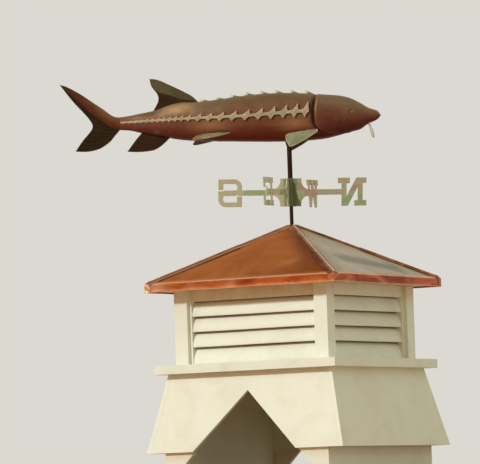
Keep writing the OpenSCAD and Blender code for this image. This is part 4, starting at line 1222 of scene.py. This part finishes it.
def ridge_side(grid):
    """0 along the ridge's lower edge and up to 1 along its upper edge: a painted highlight along its top."""
    x, places = grid[:, :, 0], RIDGE[::-1, 0]
    middle, high = (np.interp(x, places, RIDGE[::-1, k]) for k in (1, 2))
    weathered = np.interp(x, [-993, -850, -780, -735], [0.18, 0.42, 0.80, 0.60])
    return np.clip(0.5 + 0.42*(grid[:, :, 1] - middle)/high, 0, 1)*weathered


tail = patch(
    root=[(TAIL_ROOT, z) for z in (22, 4, -14, -33)],
    edge=[TIP, (-935, 96), (-891, 46), (-864, 12), (-854, -12), (-862, -32), (-900, -76), FORK],
    lead=[(TAIL_ROOT, 22), (-752, 24), (-772, 33), (-806, 60), (-850, 91), (-904, 130), (-963, 164), TIP],
    trail=[(TAIL_ROOT, -33), (-758, -58), (-781, -84), (-826, -112), (-877, -123), FORK], nu=96, nv=80)
ridge = ridge_half(tail)
# The tail's ridge carries a painted highlight along its upper edge.
upright_fin("tail_fin_forked", "tail_fin", tail, 15, least=ridge, tone=ridge_side(tail)*(ridge > 0),
            flesh=np.clip(ridge/6.0, 0, 1))

# %% [markdown]
# ## Back fin and anal fin
# These two rise from the skin, so their roots follow the drawing of the back and of the belly. The back
# fin leans a little to one side and is paler above a slanting line.

# %% Back fin and anal fin
IN_SKIN, BLADE_START, BLADE_TIP = 0.8, (-391, 79.5), (-600, 186)
back = patch(
    root=[(x, float(body_at(x, BACK)) - IN_SKIN) for x in np.linspace(-391, -588, 15)],
    edge=[BLADE_START, (-416, 104), (-451, 125), (-485, 143), (-519, 160), (-554, 177), (-580, 185),
          BLADE_TIP],
    lead=[(-391, 78), BLADE_START],
    trail=[(-588, 45), (-575, 66), (-566, 84), (-563, 102), (-568, 119), (-580, 136), (-592, 153),
           BLADE_TIP], nu=72, nv=40)
x, z = back[:, :, 0], back[:, :, 1]
above_line = z - np.interp(x, [-600, -563, -512, -469, -391], [150, 122, 107, 90, 76])
dusting = np.clip(above_line/9, 0, 1)*np.interp(x, [-600, -520, -490, -391], [1.0, 1.0, 0.72, 0.80])
upright_fin("back_fin_blade", "back_fin", back, 13, lambda u, v: 3.0*np.sin(2.4*u)*v,
            tone=dusting, flesh=0.10)

anal = patch(
    root=[(x, float(body_at(x, BELLY)) + IN_SKIN) for x in np.linspace(-518, -640, 9)],
    edge=[(-592, -127), (-625, -131), (-665, -132), (-706, -129)],
    lead=[(-518, -74), (-545, -99), (-570, -117), (-592, -127)],
    trail=[(-640, -49), (-660, -70), (-684, -100), (-706, -129)], nu=48, nv=40)
upright_fin("anal_fin_blade", "anal_fin", anal, 9, lambda u, v: -2.0*np.sin(2.2*u)*v, flesh=0.13)

# %% [markdown]
# ## Paired fins
# A paired fin slopes out and down from the flank. Its root has to follow the round skin, so for each
# place along the hinge the distance out to the skin is found by putting the sloping line into the
# section's ellipse. The fin on the other flank is its mirror image.

# %% Paired fins
PAIRED_T, HINGE_IN, ROOT_IN = 2.8, 20, 0.6


def skin_reach(x, y0, z0, dip):
    wide, deep = body_at(x, WIDE), body_at(x, SIDE) - body_at(x, BELLY)
    drop = body_at(x, SIDE) - z0
    a = (math.cos(dip)/wide)**2 + (math.sin(dip)/deep)**2
    b = 2*(y0*math.cos(dip)/wide**2 + drop*math.sin(dip)/deep**2)
    c = (y0/wide)**2 + (drop/deep)**2 - 1
    return float((np.sqrt(b*b - 4*a*c) - b)/(2*a))


def bow(a, b, c, count=6):
    """A bowed line from a to c that leans towards b, as the drawing's outlines are made."""
    return [tuple((1 - t)**2*p + 2*t*(1 - t)*q + t*t*r for p, q, r in zip(a, b, c))
            for t in np.linspace(0, 1, count)]


def mirrored(part):
    verts, faces, marks = part
    return verts*(1, -1, 1), faces, marks


def paired_fins(name, node, x, drop, dip, rear, front, tip, lead, trail, rays, pink):
    """Outlines are drawn from the hinge at x, which lies a share `drop` of the way down to the belly."""
    z0 = float(body_at(x, SIDE) - (body_at(x, SIDE) - body_at(x, BELLY))*drop)
    y0 = float(body_at(x, WIDE))*math.sqrt(1 - drop*drop) - HINGE_IN
    root = [(u, skin_reach(x + u, y0, z0, dip) - ROOT_IN) for u in np.linspace(front, rear, 7)]
    reach = skin_reach(x, y0, z0, dip)
    tip, lead, trail = ([(u, v + reach) for u, v in points] for points in (tip, lead, trail))
    grid = patch(root, tip, [root[0]] + lead, [root[-1]] + trail, 44, 52)

    def out(p):
        y = y0 + p[..., 1]*math.cos(dip) + p[..., 2]*math.sin(dip)
        z = z0 - p[..., 1]*math.sin(dip) + p[..., 2]*math.cos(dip)
        return points_at(x + p[..., 0], y, z)

    fin = fin_solid(grid, rays, PAIRED_T, out, lambda u, v: 3.5*np.sin(math.pi*u)*v, tone=0.5,
                    flesh=np.clip((pink - grid[:, :, 0])/30, 0, 0.85))
    # Painted shade on each fin's inner face, the underside that faces away from the light.
    fin[2]["shade"] = np.repeat([0.0, 0.88], len(fin[0])//2)
    fish_piece(name, [fin, mirrored(fin)], GREEN_FIN, node)


paired_fins("pectoral_fin_pair", "pectoral_fins", 60, 0.54, math.radians(52), 20, 66,
            lead=bow((64, 10), (12, 58), (-50, 94)),
            tip=[(-50, 94), *bow((-60, 94), (-78, 60), (-75, 30)), (-62, 16)],
            trail=bow((14, 4), (-20, 7), (-62, 16)), rays=8, pink=-90)
paired_fins("pelvic_fin_pair", "pelvic_fins", -300, 0.6, math.radians(24), -10, 44,
            lead=bow((40, 8), (-36, 66), (-108, 86)),
            tip=[(-108, 86), *bow((-120, 84), (-112, 46), (-84, 20))],
            trail=[*bow((-16, 5), (-40, 6), (-60, 10)), (-84, 20)], rays=7, pink=-62)

# %% [markdown]
# ## Side shields
# Each flank's shields are one strip of sheet, cut along the line drawn above. The strip lies on the skin
# at its middle and stands off it at the tips, because flat sheet does not follow the round of the flank.
# A rivet holds each of the larger shields.

# %% Side shields
STRIP_OUT, STRIP_IN, RIVET_SHARE, RIVETED = 3.0, 1.0, 0.70, LARGE + 6
SIDEWAYS, UPWARDS, ALONG = (np.array(axis) for axis in ((0, 1, 0), (0, 0, 1), (1, 0, 0)))
SHIELD = fin_sheet("shield_sheet", (0.50, 0.36, 0.25), (0.30, 0.25, 0.15), (0.70, 0.55, 0.40),
                   (0.38, 0.33, 0.21), 0.35, rough=0.55)


def flank(x, z):
    """How far out the skin is at a place along the fish and a height."""
    side = body_at(x, SIDE)
    tall = np.where(z >= side, body_at(x, BACK) - side, side - body_at(x, BELLY))
    return body_at(x, WIDE)*np.sqrt(np.clip(1 - ((z - side)/tall)**2, 0.0, 1))


def circle(middle, radius, u, v, sides):
    """A ring of points in the plane of the directions u and v."""
    a = np.linspace(0, 2*math.pi, sides, endpoint=False)[:, None]
    return np.array(middle) + radius*(np.cos(a)*u + np.sin(a)*v)


def side_strip(hand):
    x, top, down = (column[:, None] for column in shield_line(hand))
    share = np.linspace(0, 1, 9)
    z = body_at(x, SIDE) - down + (top + down)*share
    stand, crown = 0.2*flank(x, z) + 0.8*body_at(x, WIDE), 0.9*np.sin(math.pi*share)
    outer, inner = (points_at(x, hand*(stand + y), z)*MM for y in (STRIP_OUT + crown, STRIP_IN + crown*0.5))
    return shell(outer, inner, rim=bump((top + down)*np.minimum(share, 1 - share), 1.8), tone=0.5)


def rivet(hand, i):
    rear, front, size = shield_span(i)
    x, radius = rear + RIVET_SHARE*(front - rear), 1.1 + 1.5*size
    y, z = float(body_at(x, WIDE)) + STRIP_OUT + 0.3, float(body_at(x, SIDE)) + 1.5*size
    rings = [circle((x, hand*(y + 0.9*radius*math.sin(a)), z), radius*math.cos(a), ALONG, UPWARDS, 14)
             for a in np.linspace(0, 1.35, 5)]
    return tube(np.array(rings)*MM, tone=1.0)


strips = [side_strip(hand) for hand in (-1, 1)]
studs = [rivet(hand, i) for hand in (-1, 1) for i in range(RIVETED)]
fish_piece("side_shield_strips", strips + studs, SHIELD, "side_scutes", 38)

# %% [markdown]
# ## Back shields
# The back's shields are small folded plates: a sharp crest that climbs from the front to a peak over a
# steep rear. Their peaks and steep rears carry a near-white painted highlight, which makes the row of dots
# along the back.

# %% Back shields
BACK_SHIELDS, FIRST, LAST = 8, -372.0, 84.0
LOW_CREST, MORE_CREST = 12, 5
# The bright colour is the painted highlight on the crests' steep rears.
PEAK = fin_sheet("back_shield_sheet", (0.21, 0.205, 0.12), (0.11, 0.12, 0.06), (0.86, 0.79, 0.68),
                 (0.20, 0.19, 0.11), 0.3)


def back_shield(x, rise):
    u = np.concatenate([np.linspace(-13, -3, 9), np.linspace(-3, 33, 22)[1:]])[:, None]
    v = np.linspace(-1, 1, 13)
    crest = np.interp(u, [-13, -8, -4.5, -3, -1.5, 4, 14, 26, 33],
                      [0.02, 0.40, 0.92, 1.0, 0.97, 0.72, 0.42, 0.16, 0.02])*rise
    wide = np.interp(u, [-13, -7, -1, 10, 24, 33], [1.2, 6.0, 8.2, 6.8, 3.4, 0.9])
    back = body_at(x + u, BACK)
    heights = (back + 0.3 + crest*(1 - np.abs(v))**1.15, back - 1.6)
    outer, inner = (points_at(x + u, v*wide, z)*MM for z in heights)
    return shell(outer, inner, rim=np.interp(u, [-13, 2, 8], [1, 1, 0])*(np.abs(v) < 0.9), tone=0.4)


shares = np.linspace(0, 1, BACK_SHIELDS)
crests = [back_shield(FIRST + (LAST - FIRST)*share, LOW_CREST + MORE_CREST*share) for share in shares]
fish_piece("back_shield_row", crests, PEAK, "back_scutes", 40)

# %% [markdown]
# ## Barbels
# Four short feelers hang under the snout. Each is a wire with a slight kink and a blob of solder near its
# end.

# %% Barbels
BARBEL_X, BARBEL_LONG, BARBEL_TILT = 352, 66, math.radians(14)
# The wire's radius at the skin, how much it thickens further down, and how far the solder stands out.
WIRE_R, THICKER, SOLDER = 1.9, 3.2, 1.2
BARBEL = fin_sheet("barbel_wire", (0.56, 0.46, 0.41), (0.34, 0.26, 0.215), (0.66, 0.58, 0.52),
                   (0.68, 0.60, 0.55), 0.6)


def barbel(hand, aside):
    side, belly, wide = (float(body_at(BARBEL_X, column)) for column in (SIDE, BELLY, WIDE))
    top = side - (side - belly)*math.sqrt(1 - (aside/wide)**2)
    lean = math.radians(hand*(aside - 3))
    rings = []
    for t in np.linspace(0, 1, 26):
        down = BARBEL_LONG*t
        middle = (BARBEL_X + math.tan(BARBEL_TILT)*down + 1.6*math.sin(2.6*t + aside),
                  hand*aside + math.sin(lean)*down + 0.8*math.sin(4*t + hand), top + 1.5 - down*0.97)
        blob, end = SOLDER*bump(t - 0.72, 0.10), 50.4*max(0, t - 0.93)
        radius = WIRE_R + THICKER*float(np.interp(t, [0.20, 0.48], [0, 1])) + blob - end
        rings.append(circle(middle, radius, ALONG, SIDEWAYS, 12))
    return tube(np.array(rings)*MM, tone=1.0)


feelers = [barbel(hand, aside) for hand in (-1, 1) for aside in (5, 13)]
fish_piece("barbel_wires", feelers, BARBEL, "barbels", 60)

# %% [markdown]
# ## Eyes
# An eye is a small domed boss inside a ring. It is turned from one outline and set square to the skin,
# whose slope is measured a little ahead, behind, above and below.

# %% Eyes
PROBE = 8
EYE_OUTLINE = ((8.4, -1.6), (8.6, 0.2), (7.9, 1.1), (6.6, 1.2), (5.9, 0.5), (5.4, 0.6), (4.9, 1.7),
               (3.8, 2.8), (2.2, 3.5), (0.6, 3.8))
EYE_TONE = np.array([0, 0, 0.3, 0.5, 0.5, 0.7, 1, 1, 1, 1])[:, None]
EYES = fin_sheet("eye_boss", (0.085, 0.038, 0.020), (0.050, 0.022, 0.012), (0.30, 0.16, 0.10),
                 (0.34, 0.19, 0.12), 0.8, rough=0.5)


def eye_boss():
    x, z = (np.array(place) for place in EYE)
    dx = float(flank(x + PROBE, z) - flank(x - PROBE, z))/(2*PROBE)
    dz = float(flank(x, z + PROBE) - flank(x, z - PROBE))/(2*PROBE)
    out = np.array([-dx, 1, -dz])/math.sqrt(1 + dx*dx + dz*dz)
    along = np.array([1, dx, 0])/math.hypot(1, dx)
    middle = np.array([x, float(flank(x, z)), z])
    rings = [circle(middle + h*out, r, along, np.cross(along, out), 28) for r, h in EYE_OUTLINE]
    return tube(np.array(rings)*MM, tone=EYE_TONE)


boss = eye_boss()
fish_piece("eye_bosses", [mirrored(boss), boss], EYES, "eyes")

# %% [markdown]
# ## Check the size
# The dressed cupola should fill the same box as the imported model. The largest change between the two
# boxes is printed.

# %% Size
now_low, now_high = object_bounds()
change = max(abs(now - cad) for now, cad in zip((*now_low, *now_high), (*cad_low, *cad_high)))
print("largest change of the box, mm:", round(change/MM, 1))
